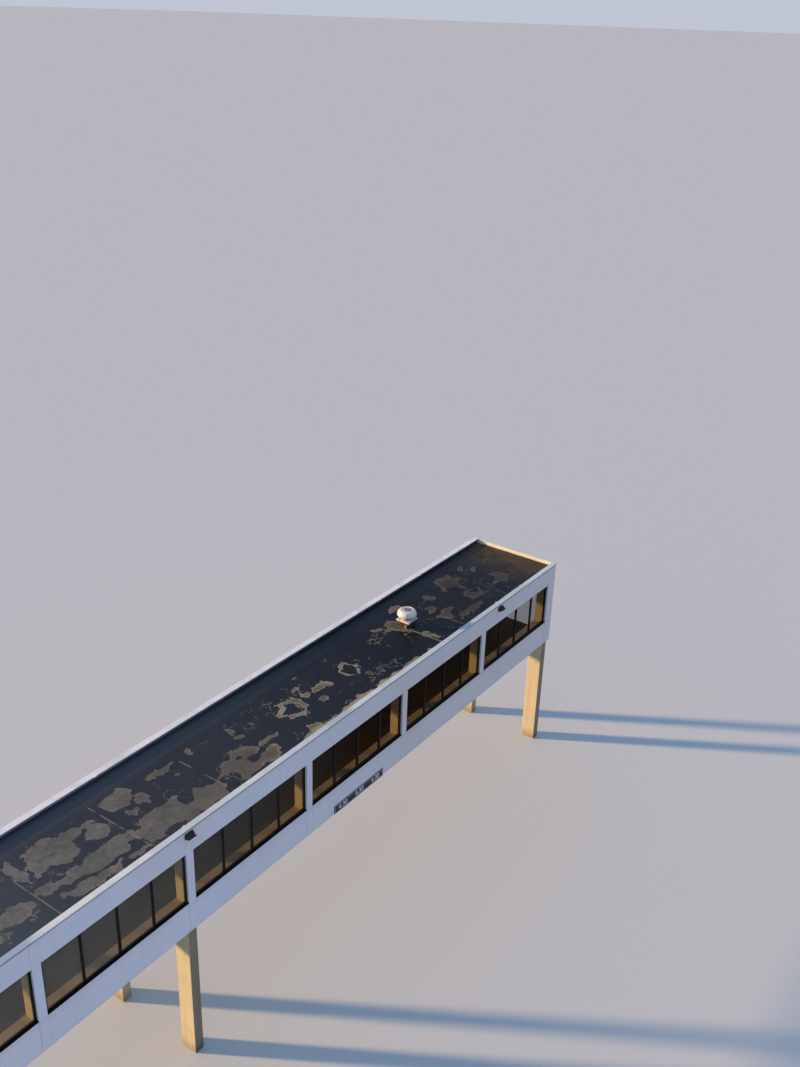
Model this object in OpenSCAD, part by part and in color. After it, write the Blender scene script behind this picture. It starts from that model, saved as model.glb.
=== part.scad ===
// Enclosed pedestrian bridge on concrete piers, in millimetres.
// X runs along the bridge towards the terminal end, Y runs across it, Z is up.
// The origin is on the ground, under the middle of the bridge.

/* [Bays] */
// Number of window bays along the bridge
bay_count = 6; // [4:1:8]
// Distance from one post to the next
bay_pitch = 4572; // [3600:10:4700]
// Width of each post on the outside face
post_w = 239; // [180:1:320]
// Width of the wider post at the terminal end
end_post_w = 460; // [360:5:600]
// Width of the bridge over the painted walls
bridge_w = 3516; // [3000:2:4200]
// Thickness of the side walls
wall_t = 438; // [400:2:480]

/* [Heights] */
// Clear height from the ground to the bottom of the walls
underside_z = 4355; // [3500:5:6000]
// Height of the lower wall, from its bottom edge to the window sill
lower_wall_h = 928; // [700:2:1200]
// Height of the window openings
window_h = 1546; // [1200:2:1700]
// Height of the wall above the windows, up to the bottom of the coping
fascia_h = 706; // [640:2:900]
// Height of the parapet above the roof surface
parapet_h = 115; // [90:5:200]

/* [Walls] */
// Thickness of the wall above the roof beams
parapet_t = 120; // [100:2:160]
// Depth of the head lining that closes the wall over a window
head_lining_h = 151; // [120:1:200]
// Chamfer beside the posts on the lower wall panels
lower_joint = 10; // [4:1:16]
// Chamfer beside the posts on the fascia panels
fascia_joint = 5; // [2:1:10]
// Thickness of the lining boards on the posts, inside the windows
jamb_lining_t = 12; // [9:1:20]

/* [Windows] */
// Number of panes in each bay
pane_count = 4; // [2:1:6]
// Distance from the wall face back to the window frame
frame_recess = 60; // [40:1:75]
// Face width of the frame bars and mullions
frame_bar = 50; // [40:1:70]
// Overlap of the outer glazing lip on the glass
lip_w = 8; // [5:1:12]
// Thickness of the outer glazing lip
lip_t = 12; // [8:1:16]
// Thickness of the sealed double glass
glass_t = 24; // [16:1:28]
// Clearance between the glass edge and the frame
glass_gap = 3; // [2:0.5:5]
// Fall of the outer sub-sill from the frame to the wall face
subsill_fall = 12; // [6:1:20]
// Thickness of the outer edge of the sub-sill
subsill_edge = 8; // [5:1:12]
// How far the sub-sill stands out from the wall face
subsill_drip = 6; // [3:1:12]
// Drop from the window sill down to the top of the inside ledge
ledge_drop = 58; // [30:1:80]
// Thickness of the inside window ledge
ledge_t = 25; // [18:1:32]
// How far the inside ledge stands out past the wall
ledge_nosing = 20; // [10:1:40]

/* [Floor] */
// How far the soffit is set up above the bottom of the walls
soffit_recess = 30; // [15:5:60]
// Thickness of the soffit boards
soffit_t = 20; // [12:1:30]
// Depth of the floor beams
floor_beam_h = 100; // [80:5:140]
// Width of each floor beam
floor_beam_w = 150; // [100:5:220]
// Thickness of the web of a beam
beam_web_t = 10; // [8:1:16]
// Thickness of the flanges of a beam
beam_flange_t = 14; // [10:1:20]
// Thickness of the floor slab
slab_t = 135; // [100:5:170]
// Thickness of the floor covering
covering_t = 15; // [6:1:20]

/* [Roof] */
// Thickness of the ceiling boards
ceiling_t = 20; // [12:1:30]
// Thickness of the insulated roof deck
roof_deck_t = 150; // [100:5:180]
// Width of each roof beam
roof_beam_w = 200; // [120:5:240]
// Thickness of the roof sheet
membrane_t = 20; // [8:1:25]
// Thickness of the sheet turned up the parapet
upstand_t = 12; // [8:1:16]
// Thickness of the sheet where it is lapped over the wall top
wrap_t = 5; // [3:1:8]
// How far the sheet is lapped down the outside of the wall
wrap_drop = 54; // [25:1:70]
// Distance between the lap seams across the roof
seam_pitch = 2750; // [2000:10:3600]
// Distance from the outer end of the bridge to the first lap seam
seam_first = 2950; // [1000:10:3000]
// Width of each lap seam
seam_w = 100; // [60:5:150]
// Height of each lap seam above the sheet
seam_h = 5; // [3:1:8]
// Height of the bright flashing across each end of the roof
end_flashing_h = 110; // [60:5:112]
// Thickness of the end flashing
end_flashing_t = 15; // [8:1:20]
// Width of the end flashing's foot along the roof
end_flashing_foot = 70; // [40:5:120]

/* [Coping] */
// Number of coping lengths on each side
coping_count = 9; // [4:1:12]
// Gap between two lengths of coping
coping_gap = 4; // [2:1:8]
// How far the coping reaches past the outside wall face
coping_out = 25; // [15:1:40]
// How far the coping reaches past the inside of the parapet
coping_in = 35; // [28:1:60]
// Thickness of the folded coping
coping_t = 8; // [4:1:10]
// Fall of the coping top towards the roof
coping_fall = 12; // [4:1:20]
// Drop of the folded hems along both edges of the coping
coping_hem = 8; // [4:1:12]

/* [Piers] */
// Number of the post, from the outer end, that stands on the middle piers
mid_pier_post = 2; // [1:1:3]
// Width of each pier along the bridge
pier_w = 300; // [240:5:400]
// Depth of each pier across the bridge
pier_d = 541; // [400:1:700]
// Distance from the wall face in to the outside of the piers
pier_inset = 62; // [20:1:100]
// Chamfer down the edges of the piers
pier_chamfer = 20; // [10:1:40]
// Thickness of the bearing plates on the piers
bearing_t = 40; // [20:1:60]
// Size of the bearing plates along the bridge
bearing_w = 240; // [150:5:280]
// Size of the bearing plates across the bridge
bearing_d = 200; // [120:5:220]

/* [Roof fan] */
// Distance from the terminal end to the middle of the fan
fan_from_end = 6990; // [3000:10:9000]
// Width of the square curb under the fan
curb_w = 410; // [380:5:430]
// Height of the curb above the roof sheet
curb_h = 264; // [150:2:350]
// Clearance between the curb and the skirt of the fan base
skirt_gap = 35; // [25:1:60]
// Thickness of the folded fan base
base_t = 6; // [4:1:8]
// Depth of the skirt of the fan base
skirt_h = 58; // [40:1:90]
// Diameter of the air inlet ring on the fan base
inlet_d = 400; // [340:5:410]
// Height of the inlet ring above the base
inlet_h = 70; // [40:5:100]
// Diameter of the dome over its rolled rim
dome_d = 650; // [600:5:800]
// Height of the dome from its rim to its flat top
dome_h = 150; // [120:2:220]
// Height of the dome's rim above the fan base
rim_lift = 160; // [110:5:200]
// Thickness of the dome
dome_t = 6; // [4:1:10]
// Diameter of the rolled rim
rim_d = 20; // [14:1:28]
// Diameter of the flat top of the dome
plateau_d = 420; // [380:5:480]
// Diameter of the bead rolled round the flat top
bead_d = 16; // [10:1:20]
// Diameter of the cap on the flat top
cap_d = 260; // [180:5:300]
// Height of the cap
cap_h = 20; // [14:1:40]
// Number of raised ribs on the dome
dome_rib_count = 12; // [6:1:16]
// Width of the dome's ribs
dome_rib_w = 10; // [6:1:16]
// Number of bracket legs that carry the dome
bracket_count = 4; // [3:1:8]
// Width of the bracket legs
bracket_w = 36; // [24:1:50]
// Diameter of the motor drum inside the dome
motor_d = 200; // [140:5:230]
// Height of the motor drum
motor_h = 120; // [90:5:140]

/* [Lights and plate] */
// Width of each wall light
light_w = 250; // [200:5:300]
// Height of each wall light
light_h = 140; // [110:5:180]
// How far each wall light stands out from the wall
light_out = 145; // [100:5:180]
// Distance from the wall top down to the top of a wall light
light_drop = 100; // [70:5:160]
// Distance from the last bay's first window jamb to its wall light
light_offset = 840; // [400:10:3000]
// Number of the bay, from the outer end, that carries the height plate
plate_bay = 3; // [0:1:3]
// Length of the height plate
plate_len = 2360; // [1500:10:2800]
// Height of the height plate
plate_h = 270; // [200:5:400]
// Thickness of the height plate
plate_t = 20; // [8:1:30]

/* [Hidden] */

$fn = 96;

// Lengths along the bridge
bridge_len = bay_count * bay_pitch + end_post_w;
start_x = -bridge_len / 2;
opening_w = bay_pitch - post_w;

// Planes across the bridge, measured out from the centre line
face_y = bridge_w / 2;
inner_y = face_y - wall_t;
parapet_y = face_y - parapet_t;
frame_face_y = face_y - frame_recess;
frame_depth = parapet_t - frame_recess;

// Levels
sill_z = underside_z + lower_wall_h;
head_z = sill_z + window_h;
wall_top_z = head_z + fascia_h;
parapet_top_z = wall_top_z - wrap_t;
ledge_z = sill_z - ledge_drop;
ledge_seat_z = ledge_z - ledge_t;
beam_seat_z = head_z + head_lining_h;
roof_z = wall_top_z - parapet_h;
deck_top_z = roof_z - membrane_t;
deck_bottom_z = deck_top_z - roof_deck_t;
soffit_z = underside_z + soffit_recess;
floor_beam_z = soffit_z + soffit_t;
slab_z = floor_beam_z + floor_beam_h;
covering_z = slab_z + slab_t;
pier_h = underside_z - bearing_t;
base_z = roof_z + curb_h;
rim_z = base_z + base_t + rim_lift;
light_top_z = wall_top_z - light_drop;

// Left face of post i, and its width
function post_x(i) = start_x + i * bay_pitch;
function post_width(i) = i == bay_count ? end_post_w : post_w;
function post_mid(i) = post_x(i) + post_width(i) / 2;
// Left jamb of the window in bay i
function jamb_x(i) = post_x(i) + post_w;

pier_mids = [post_mid(mid_pier_post), post_mid(bay_count)];
light_mids = [post_mid(mid_pier_post), jamb_x(bay_count - 1) + light_offset];

// Everything on the front wall is drawn at negative Y, and the back wall is its mirror image
module back_side() {
    mirror([0, 1, 0]) children();
}

// A profile drawn in Y and Z, run along X from x0 for a length
module along_x(x0, len) {
    translate([x0, 0, 0]) rotate([90, 0, 90]) linear_extrude(height = len) children();
}

// A slab across the bridge, y0 to -y0, between two levels
module cross_slab(x0, len, half, z0, h) {
    translate([x0, -half, z0]) cube([len, 2 * half, h]);
}

// Piers and bearings

module pier(x) {
    y_out = -face_y + pier_inset;
    c = pier_chamfer;
    translate([x - pier_w / 2, y_out, 0])
        linear_extrude(height = pier_h)
            polygon([
                [c, 0], [pier_w - c, 0], [pier_w, c], [pier_w, pier_d - c],
                [pier_w - c, pier_d], [c, pier_d], [0, pier_d - c], [0, c]
            ]);
}

module front_mid_pier() {
    color("#a89b83") pier(pier_mids[0]);
}

module back_mid_pier() {
    color("#a89b83") back_side() pier(pier_mids[0]);
}

module front_terminal_pier() {
    color("#a89b83") pier(pier_mids[1]);
}

module back_terminal_pier() {
    color("#a89b83") back_side() pier(pier_mids[1]);
}

module bearing(x) {
    y_mid = -(face_y + inner_y) / 2;
    translate([x - bearing_w / 2, y_mid - bearing_d / 2, pier_h]) cube([bearing_w, bearing_d, bearing_t]);
}

module bearing_plates() {
    color("#5b5c5c")
        for (x = pier_mids) {
            bearing(x);
            back_side() bearing(x);
        }
}

// Side walls

// A post is deep up to the roof beams, which rest on its shoulder, and thin above them
module post(i) {
    along_x(post_x(i), post_width(i))
        polygon([
            [-face_y, underside_z], [-inner_y, underside_z], [-inner_y, beam_seat_z],
            [-parapet_y, beam_seat_z], [-parapet_y, parapet_top_z], [-face_y, parapet_top_z]
        ]);
}

module posts() {
    for (i = [0 : bay_count]) post(i);
}

module front_posts() {
    color("#c9cdd6") posts();
}

module back_posts() {
    color("#c9cdd6") back_side() posts();
}

// A panel between two posts, with its outer upright edges chamfered to show the joint
module bay_panel(i, z0, h, t, joint) {
    translate([jamb_x(i), -face_y, z0])
        linear_extrude(height = h)
            polygon([[joint, 0], [opening_w - joint, 0], [opening_w, joint], [opening_w, t], [0, t], [0, joint]]);
}

// The lower wall is thick up to the seat of the inside ledge, and thin behind the window sill
module lower_panels() {
    for (i = [0 : bay_count - 1]) {
        bay_panel(i, underside_z, ledge_seat_z - underside_z, wall_t, lower_joint);
        bay_panel(i, ledge_seat_z, sill_z - ledge_seat_z, parapet_t, lower_joint);
    }
}

module front_lower_panels() {
    color("#c3c8d3") lower_panels();
}

module back_lower_panels() {
    color("#c3c8d3") back_side() lower_panels();
}

module fascia_panels() {
    for (i = [0 : bay_count - 1]) bay_panel(i, head_z, parapet_top_z - head_z, parapet_t, fascia_joint);
}

module front_fascia_panels() {
    color("#c6cbd5") fascia_panels();
}

module back_fascia_panels() {
    color("#c6cbd5") back_side() fascia_panels();
}

module head_linings() {
    for (i = [0 : bay_count - 1])
        translate([jamb_x(i), -parapet_y, head_z]) cube([opening_w, parapet_y - inner_y, head_lining_h]);
}

module front_head_linings() {
    color("#d6d2c4") head_linings();
}

module back_head_linings() {
    color("#d6d2c4") back_side() head_linings();
}

// Boards on both sides of each window, between the inside ledge and the head lining
module jamb_linings() {
    for (i = [0 : bay_count - 1])
        for (x = [jamb_x(i), jamb_x(i) + opening_w - jamb_lining_t])
            translate([x, -parapet_y, ledge_z]) cube([jamb_lining_t, parapet_y - inner_y, head_z - ledge_z]);
}

module front_jamb_linings() {
    color("#cdb183") jamb_linings();
}

module back_jamb_linings() {
    color("#cdb183") back_side() jamb_linings();
}

// Windows

pane_w = (opening_w - (pane_count + 1) * frame_bar) / pane_count;
pane_h = window_h - 2 * frame_bar;

// Frame outline in X and Z with its panes cut out, each pane smaller by inset all round
module frame_outline(inset) {
    difference() {
        square([opening_w, window_h]);
        for (k = [0 : pane_count - 1])
            translate([frame_bar + k * (pane_w + frame_bar) + inset, frame_bar + inset])
                square([pane_w - 2 * inset, pane_h - 2 * inset]);
    }
}

// Runs an outline in X and Z back from the front plane y0 by a depth
module back_from(y0, depth) {
    translate([0, y0 + depth, 0]) rotate([90, 0, 0]) linear_extrude(height = depth) children();
}

module subsill(i) {
    along_x(jamb_x(i), opening_w)
        polygon([
            [-face_y - subsill_drip, sill_z], [-frame_face_y, sill_z],
            [-frame_face_y, sill_z + subsill_edge + subsill_fall], [-face_y - subsill_drip, sill_z + subsill_edge]
        ]);
}

module window_frame(i) {
    translate([jamb_x(i), 0, sill_z]) {
        back_from(-frame_face_y, lip_t) frame_outline(lip_w);
        back_from(-frame_face_y + lip_t, frame_depth - lip_t) frame_outline(0);
    }
    subsill(i);
}

module window_frames() {
    for (i = [0 : bay_count - 1]) window_frame(i);
}

module front_window_frames() {
    color("#2a2622") window_frames();
}

module back_window_frames() {
    color("#2a2622") back_side() window_frames();
}

// Each pane stands behind the glazing lips, with a clearance round its edge
module panes() {
    for (i = [0 : bay_count - 1])
        for (k = [0 : pane_count - 1])
            translate([
                jamb_x(i) + frame_bar + k * (pane_w + frame_bar) + glass_gap,
                -frame_face_y + lip_t,
                sill_z + frame_bar + glass_gap
            ])
                cube([pane_w - 2 * glass_gap, glass_t, pane_h - 2 * glass_gap]);
}

module front_glass() {
    color("#5b4a33", 0.55) panes();
}

module back_glass() {
    color("#5b4a33", 0.55) back_side() panes();
}

// The inside ledge lies on the lower wall behind the frame, and its front edge is round
module window_ledges() {
    nose_r = ledge_t / 2;
    nose_y = -inner_y + ledge_nosing - nose_r;
    for (i = [0 : bay_count - 1])
        along_x(jamb_x(i), opening_w) {
            translate([-parapet_y, ledge_seat_z]) square([nose_y + parapet_y, ledge_t]);
            translate([nose_y, ledge_seat_z + nose_r]) circle(r = nose_r);
        }
}

module front_window_ledges() {
    color("#b98f4e") window_ledges();
}

module back_window_ledges() {
    color("#b98f4e") back_side() window_ledges();
}

// Floor

module soffit() {
    color("#b9bdc4") cross_slab(start_x, bridge_len, inner_y, soffit_z, soffit_t);
}

// A wide-flange steel beam across the bridge, centred on x
module cross_beam(x, half, z0, w, h) {
    cross_slab(x - w / 2, w, half, z0, beam_flange_t);
    cross_slab(x - beam_web_t / 2, beam_web_t, half, z0, h);
    cross_slab(x - w / 2, w, half, z0 + h - beam_flange_t, beam_flange_t);
}

// A beam across under each post, and one halfway along each bay
module floor_beams() {
    color("#6d6f70") {
        for (i = [0 : bay_count]) cross_beam(post_mid(i), inner_y, floor_beam_z, floor_beam_w, floor_beam_h);
        for (i = [0 : bay_count - 1])
            cross_beam(jamb_x(i) + opening_w / 2, inner_y, floor_beam_z, floor_beam_w, floor_beam_h);
    }
}

module floor_slab() {
    color("#8d8a84") cross_slab(start_x, bridge_len, inner_y, slab_z, slab_t);
}

module floor_covering() {
    color("#5a4f47") cross_slab(start_x, bridge_len, inner_y, covering_z, covering_t);
}

// Roof

module ceiling() {
    color("#d9d6cc") cross_slab(start_x, bridge_len, inner_y, beam_seat_z - ceiling_t, ceiling_t);
}

module roof_beams() {
    color("#6d6f70")
        for (i = [0 : bay_count])
            cross_beam(post_mid(i), parapet_y, beam_seat_z, roof_beam_w, deck_bottom_z - beam_seat_z);
}

module roof_deck() {
    color("#9a958b") cross_slab(start_x, bridge_len, parapet_y, deck_bottom_z, roof_deck_t);
}

// The sheet covers the whole deck, and each lap seam is a low strip across it
module roof_membrane() {
    seam_half = parapet_y - upstand_t;
    seam_last = floor((bridge_len - seam_first - end_flashing_foot - seam_w) / seam_pitch);
    color("#33373c") {
        cross_slab(start_x, bridge_len, parapet_y, deck_top_z, membrane_t);
        for (k = [0 : seam_last])
            cross_slab(start_x + seam_first + k * seam_pitch - seam_w / 2, seam_w, seam_half, roof_z, seam_h);
    }
}

// The sheet is turned up the parapet, over the wall top and a little way down the outside
module roof_upstand() {
    along_x(start_x, bridge_len)
        polygon([
            [-parapet_y, roof_z], [-parapet_y + upstand_t, roof_z], [-parapet_y + upstand_t, wall_top_z],
            [-face_y - wrap_t, wall_top_z], [-face_y - wrap_t, wall_top_z - wrap_drop],
            [-face_y, wall_top_z - wrap_drop], [-face_y, parapet_top_z], [-parapet_y, parapet_top_z]
        ]);
}

module front_roof_upstand() {
    color("#26292e") roof_upstand();
}

module back_roof_upstand() {
    color("#26292e") back_side() roof_upstand();
}

// An angle across the roof, with its upright leg at the end of the bridge
module end_flashing() {
    half = parapet_y - upstand_t;
    translate([bridge_len / 2 - end_flashing_foot, -half, roof_z])
        cube([end_flashing_foot, 2 * half, end_flashing_t]);
    translate([bridge_len / 2 - end_flashing_t, -half, roof_z])
        cube([end_flashing_t, 2 * half, end_flashing_h]);
}

module roof_end_flashings() {
    color("#e6dcc2") {
        end_flashing();
        mirror([1, 0, 0]) end_flashing();
    }
}

// Coping, a folded cap that lies on the wall top and falls towards the roof, with a short hem at each edge
module coping_profile() {
    y_out = -face_y - coping_out;
    y_in = -parapet_y + coping_in;
    hem_z = wall_top_z - coping_hem;
    polygon([
        [y_out, hem_z], [y_out + coping_t, hem_z], [y_out + coping_t, wall_top_z],
        [y_in - coping_t, wall_top_z], [y_in - coping_t, hem_z], [y_in, hem_z],
        [y_in, wall_top_z + coping_t], [y_out, wall_top_z + coping_t + coping_fall]
    ]);
}

module coping() {
    length = (bridge_len - (coping_count - 1) * coping_gap) / coping_count;
    for (k = [0 : coping_count - 1])
        along_x(start_x + k * (length + coping_gap), length) coping_profile();
}

module front_coping() {
    color("#dfe2e6") coping();
}

module back_coping() {
    color("#dfe2e6") back_side() coping();
}

// Roof fan

module at_fan(z) {
    translate([bridge_len / 2 - fan_from_end, 0, z]) children();
}

module centred_block(w, h) {
    translate([-w / 2, -w / 2, 0]) cube([w, w, h]);
}

module fan_curb() {
    color("#4a3f36") at_fan(roof_z) centred_block(curb_w, curb_h);
}

// The base is a square tray turned down over the curb, with a round inlet ring on it
module fan_base() {
    inside_w = curb_w + 2 * skirt_gap;
    outside_w = inside_w + 2 * base_t;
    color("#e2ddd0") at_fan(base_z) {
        difference() {
            translate([0, 0, base_t - skirt_h]) centred_block(outside_w, skirt_h);
            translate([0, 0, -skirt_h]) centred_block(inside_w, skirt_h);
        }
        translate([0, 0, base_t])
            difference() {
                cylinder(d = inlet_d, h = inlet_h);
                translate([0, 0, -1]) cylinder(d = inlet_d - 2 * base_t, h = inlet_h + 2);
            }
    }
}

// The dome is a quarter ellipse from the rim to its flat top, spun round the axis
rim_r = dome_d / 2 - rim_d / 2;
plateau_r = plateau_d / 2;
dome_steps = 14;
function dome_point(k, r0, h) = let (a = 90 * k / dome_steps) [plateau_r + (r0 - plateau_r) * cos(a), h * sin(a)];

module dome_profile() {
    outer = [for (k = [0 : dome_steps]) dome_point(k, rim_r, dome_h)];
    inner = [for (k = [dome_steps : -1 : 0]) dome_point(k, rim_r - dome_t, dome_h - dome_t)];
    polygon(concat(outer, [[0, dome_h], [0, dome_h - dome_t]], inner));
}

// A rib follows the outside of the dome from above the rim to the bead round its flat top
module dome_rib() {
    outer = [for (k = [1 : dome_steps]) dome_point(k, rim_r + dome_t, dome_h + dome_t)];
    inner = [for (k = [dome_steps : -1 : 1]) dome_point(k, rim_r - dome_t / 2, dome_h - dome_t / 2)];
    translate([0, dome_rib_w / 2, 0]) rotate([90, 0, 0])
        linear_extrude(height = dome_rib_w) polygon(concat(outer, inner));
}

module fan_dome() {
    color("#ece6d8") at_fan(rim_z) {
        rotate_extrude() dome_profile();
        rotate_extrude() translate([rim_r, 0]) circle(d = rim_d, $fn = 32);
        rotate_extrude() translate([plateau_r, dome_h]) circle(d = bead_d, $fn = 24);
        for (k = [0 : dome_rib_count - 1]) rotate([0, 0, k * 360 / dome_rib_count]) dome_rib();
    }
}

// Legs on the base reach out over the inlet ring and carry the motor drum, which holds the dome's top
module fan_motor_bracket() {
    leg_r = inlet_d / 2 + base_t;
    drum_z = rim_lift + dome_h - dome_t - motor_h;
    color("#8f8d86") at_fan(base_z + base_t) {
        for (k = [0 : bracket_count - 1])
            rotate([0, 0, 45 + k * 360 / bracket_count]) {
                translate([leg_r, -bracket_w / 2, 0]) cube([base_t, bracket_w, drum_z + base_t]);
                translate([0, -bracket_w / 2, drum_z]) cube([leg_r + base_t, bracket_w, base_t]);
            }
        translate([0, 0, drum_z]) cylinder(d = motor_d, h = motor_h);
    }
}

module fan_cap() {
    cap_r = cap_d / 2;
    color("#4b4742") at_fan(rim_z + dome_h)
        rotate_extrude()
            polygon([
                [0, 0], [cap_r, 0], [cap_r, cap_h / 3], [cap_r - cap_h / 2, cap_h / 2],
                [cap_r - cap_h, cap_h], [0, cap_h]
            ]);
}

// Wall lights and height plate

// The top of a light slopes down from the wall to a thin outer edge, and its underside holds the lens
module wall_light(x) {
    along_x(x - light_w / 2, light_w)
        polygon([
            [-face_y, light_top_z - light_h], [-face_y, light_top_z],
            [-face_y - 0.3 * light_out, light_top_z - 0.08 * light_h],
            [-face_y - light_out, light_top_z - 0.5 * light_h],
            [-face_y - light_out, light_top_z - 0.75 * light_h],
            [-face_y - 0.2 * light_out, light_top_z - light_h]
        ]);
}

module front_wall_lights() {
    color("#3a342d") for (x = light_mids) wall_light(x);
}

module back_wall_lights() {
    color("#3a342d") back_side() for (x = light_mids) wall_light(x);
}

module height_plate() {
    plate_mid = jamb_x(plate_bay) + opening_w / 2;
    color("#2a3145")
        translate([plate_mid - plate_len / 2, -face_y - plate_t, underside_z]) cube([plate_len, plate_t, plate_h]);
}

front_mid_pier();
back_mid_pier();
front_terminal_pier();
back_terminal_pier();
bearing_plates();
front_posts();
back_posts();
front_lower_panels();
back_lower_panels();
front_fascia_panels();
back_fascia_panels();
front_head_linings();
back_head_linings();
front_jamb_linings();
back_jamb_linings();
front_window_frames();
back_window_frames();
front_glass();
back_glass();
front_window_ledges();
back_window_ledges();
soffit();
floor_beams();
floor_slab();
floor_covering();
ceiling();
roof_beams();
roof_deck();
roof_membrane();
front_roof_upstand();
back_roof_upstand();
roof_end_flashings();
front_coping();
back_coping();
fan_curb();
fan_base();
fan_motor_bracket();
fan_dome();
fan_cap();
front_wall_lights();
back_wall_lights();
height_plate();
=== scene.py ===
# Enclosed pedestrian bridge: what it looks like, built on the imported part. Metres, X along the bridge, Z up.
import math

import bmesh
import bpy
from mathutils import Matrix, Vector


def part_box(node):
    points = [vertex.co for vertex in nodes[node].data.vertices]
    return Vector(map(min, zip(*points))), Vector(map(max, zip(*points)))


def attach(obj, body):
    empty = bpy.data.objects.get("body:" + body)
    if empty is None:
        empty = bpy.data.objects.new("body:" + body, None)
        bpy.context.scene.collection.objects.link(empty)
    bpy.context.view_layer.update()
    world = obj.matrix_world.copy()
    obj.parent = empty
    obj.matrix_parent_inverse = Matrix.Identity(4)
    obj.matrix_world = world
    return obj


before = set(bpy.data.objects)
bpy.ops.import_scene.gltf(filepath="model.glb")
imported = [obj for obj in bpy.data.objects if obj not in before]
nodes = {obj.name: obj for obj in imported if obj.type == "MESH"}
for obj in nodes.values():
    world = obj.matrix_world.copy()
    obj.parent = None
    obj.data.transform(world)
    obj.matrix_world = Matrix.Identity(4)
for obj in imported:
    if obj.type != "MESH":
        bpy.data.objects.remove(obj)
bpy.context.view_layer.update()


# The eye stands 18 m out from the middle of the bridge and about 25 m up, and looks down along it towards the
# terminal end. The values were worked out from the straight lines of the photograph.
photo_height = 1067
focal_length_px = 1123.74
eye = Vector((-19.654, -18.127, 25.645))
heading, tilt_down, roll = (math.radians(a) for a in (34.8227, 24.8605, -1.9209))
sensor_size = 36.0
far_clip = 20000.0

ahead = Vector((math.cos(heading) * math.cos(tilt_down), math.sin(heading) * math.cos(tilt_down),
                -math.sin(tilt_down)))
level_right = Vector((math.sin(heading), -math.cos(heading), 0))
level_down = ahead.cross(level_right)
right = level_right * math.cos(roll) + level_down * math.sin(roll)
down = level_down * math.cos(roll) - level_right * math.sin(roll)

bpy.ops.object.camera_add(location=eye)
camera = bpy.context.object
camera.name = "viewpoint"
camera.matrix_world = Matrix((
    (right.x, -down.x, -ahead.x, eye.x),
    (right.y, -down.y, -ahead.y, eye.y),
    (right.z, -down.z, -ahead.z, eye.z),
    (0, 0, 0, 1),
))
camera.data.sensor_width = sensor_size
camera.data.lens = focal_length_px * sensor_size / photo_height
camera.data.clip_end = far_clip
bpy.context.scene.camera = camera


# Four square-cut concrete piers stand in two pairs under the posts of the bridge. They are cast in plywood forms,
# so each face is smooth, with faint lift lines, plugged tie holes, air holes, rain marks and a dark splashed foot.
# The last tone multiplies the outer faces of the piers darker: painted shade.
concrete_light, concrete_dark, concrete_wet, outer_face_shade = "b9b392", "a1997a", "766f57", "c4c1c9"
lift_height, pier_edge = 1.22, 0.020
plug_radius, plug_depth, plug_spread = 0.014, 0.0015, 0.15
plug_levels = (0.62, 1.83, 3.05, 4.0)
quarter = math.pi / 2
no_turn, turn_front, turn_inward, turn_left = (0, 0, 0), (quarter, 0, 0), (-quarter, 0, 0), (0, -quarter, 0)


def linear(hex_colour):
    """A colour written as sRGB hex, turned to linear."""
    parts = [int(hex_colour[i:i + 2], 16) / 255 for i in (0, 2, 4)]
    return tuple(p / 12.92 if p <= 0.04045 else ((p + 0.055) / 1.055) ** 2.4 for p in parts) + (1.0,)


def feed(node, inputs):
    """Sets or links a node's inputs, by name or in order. A node stands for its result, and text for a hex colour."""
    named = inputs if isinstance(inputs, dict) else dict(enumerate(inputs))
    for socket, value in named.items():
        if isinstance(value, bpy.types.Node):
            value = value.outputs[2 if value.bl_idname == "ShaderNodeMix" else 0]
        if isinstance(value, bpy.types.NodeSocket):
            tree.links.new(value, node.inputs[socket])
        else:
            node.inputs[socket].default_value = linear(value) if isinstance(value, str) else value


def add(kind, inputs=(), **settings):
    """Adds a node to the tree at hand, with its settings and links. A Mix takes its share and two colours."""
    node = tree.nodes.new("ShaderNode" + kind)
    if kind == "Mix":
        node.data_type = "RGBA"
        inputs = dict(zip((0, 6, 7), inputs))
    for name, value in settings.items():
        setattr(node, name, value)
    feed(node, inputs)
    return node


def start_material(name, constants):
    """Opens a new material, as the tree at hand. Gives it, its shader, and the place on the object."""
    global tree
    material = bpy.data.materials.new(name)
    material.use_nodes = True
    tree = material.node_tree
    shader = tree.nodes["Principled BSDF"]
    feed(shader, constants)
    return material, shader, add("TexCoord").outputs["Object"]


def dress(material, *names):
    """Gives CAD nodes their material."""
    for name in names:
        nodes[name].data.materials.clear()
        nodes[name].data.materials.append(material)


def deselect():
    bpy.ops.object.select_all(action="DESELECT")


def activate(piece):
    """Selects one piece alone."""
    deselect()
    piece.select_set(True)
    bpy.context.view_layer.objects.active = piece


def pick(piece, kind, wanted):
    """In edit mode, selects only the vertices, edges or faces that are wanted."""
    bpy.ops.mesh.select_mode(type={"verts": "VERT", "edges": "EDGE", "faces": "FACE"}[kind])
    bpy.ops.mesh.select_all(action="DESELECT")
    mesh = bmesh.from_edit_mesh(piece.data)
    for item in getattr(mesh, kind):
        if wanted(item):
            item.select_set(True)
    mesh.select_flush_mode()
    bmesh.update_edit_mesh(piece.data)


def settle(piece, name, smooth=None):
    """Names a piece and puts its place into its mesh."""
    if piece.mode == "EDIT":
        bpy.ops.object.mode_set(mode="OBJECT")
    activate(piece)
    bpy.ops.object.transform_apply(location=True, rotation=True, scale=True)
    if smooth:
        bpy.ops.object.shade_smooth_by_angle(angle=math.radians(smooth))
    piece.name = piece.data.name = name
    return piece


def drum(sides, radius, depth, centre, turn=no_turn, ends="NGON"):
    """A cylinder added at size and place, and left in edit mode to be shaped."""
    deselect()
    bpy.ops.mesh.primitive_cylinder_add(vertices=sides, radius=radius, depth=depth, location=centre, rotation=turn,
                                        end_fill_type=ends)
    bpy.ops.object.mode_set(mode="EDIT")
    return bpy.context.object


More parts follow.
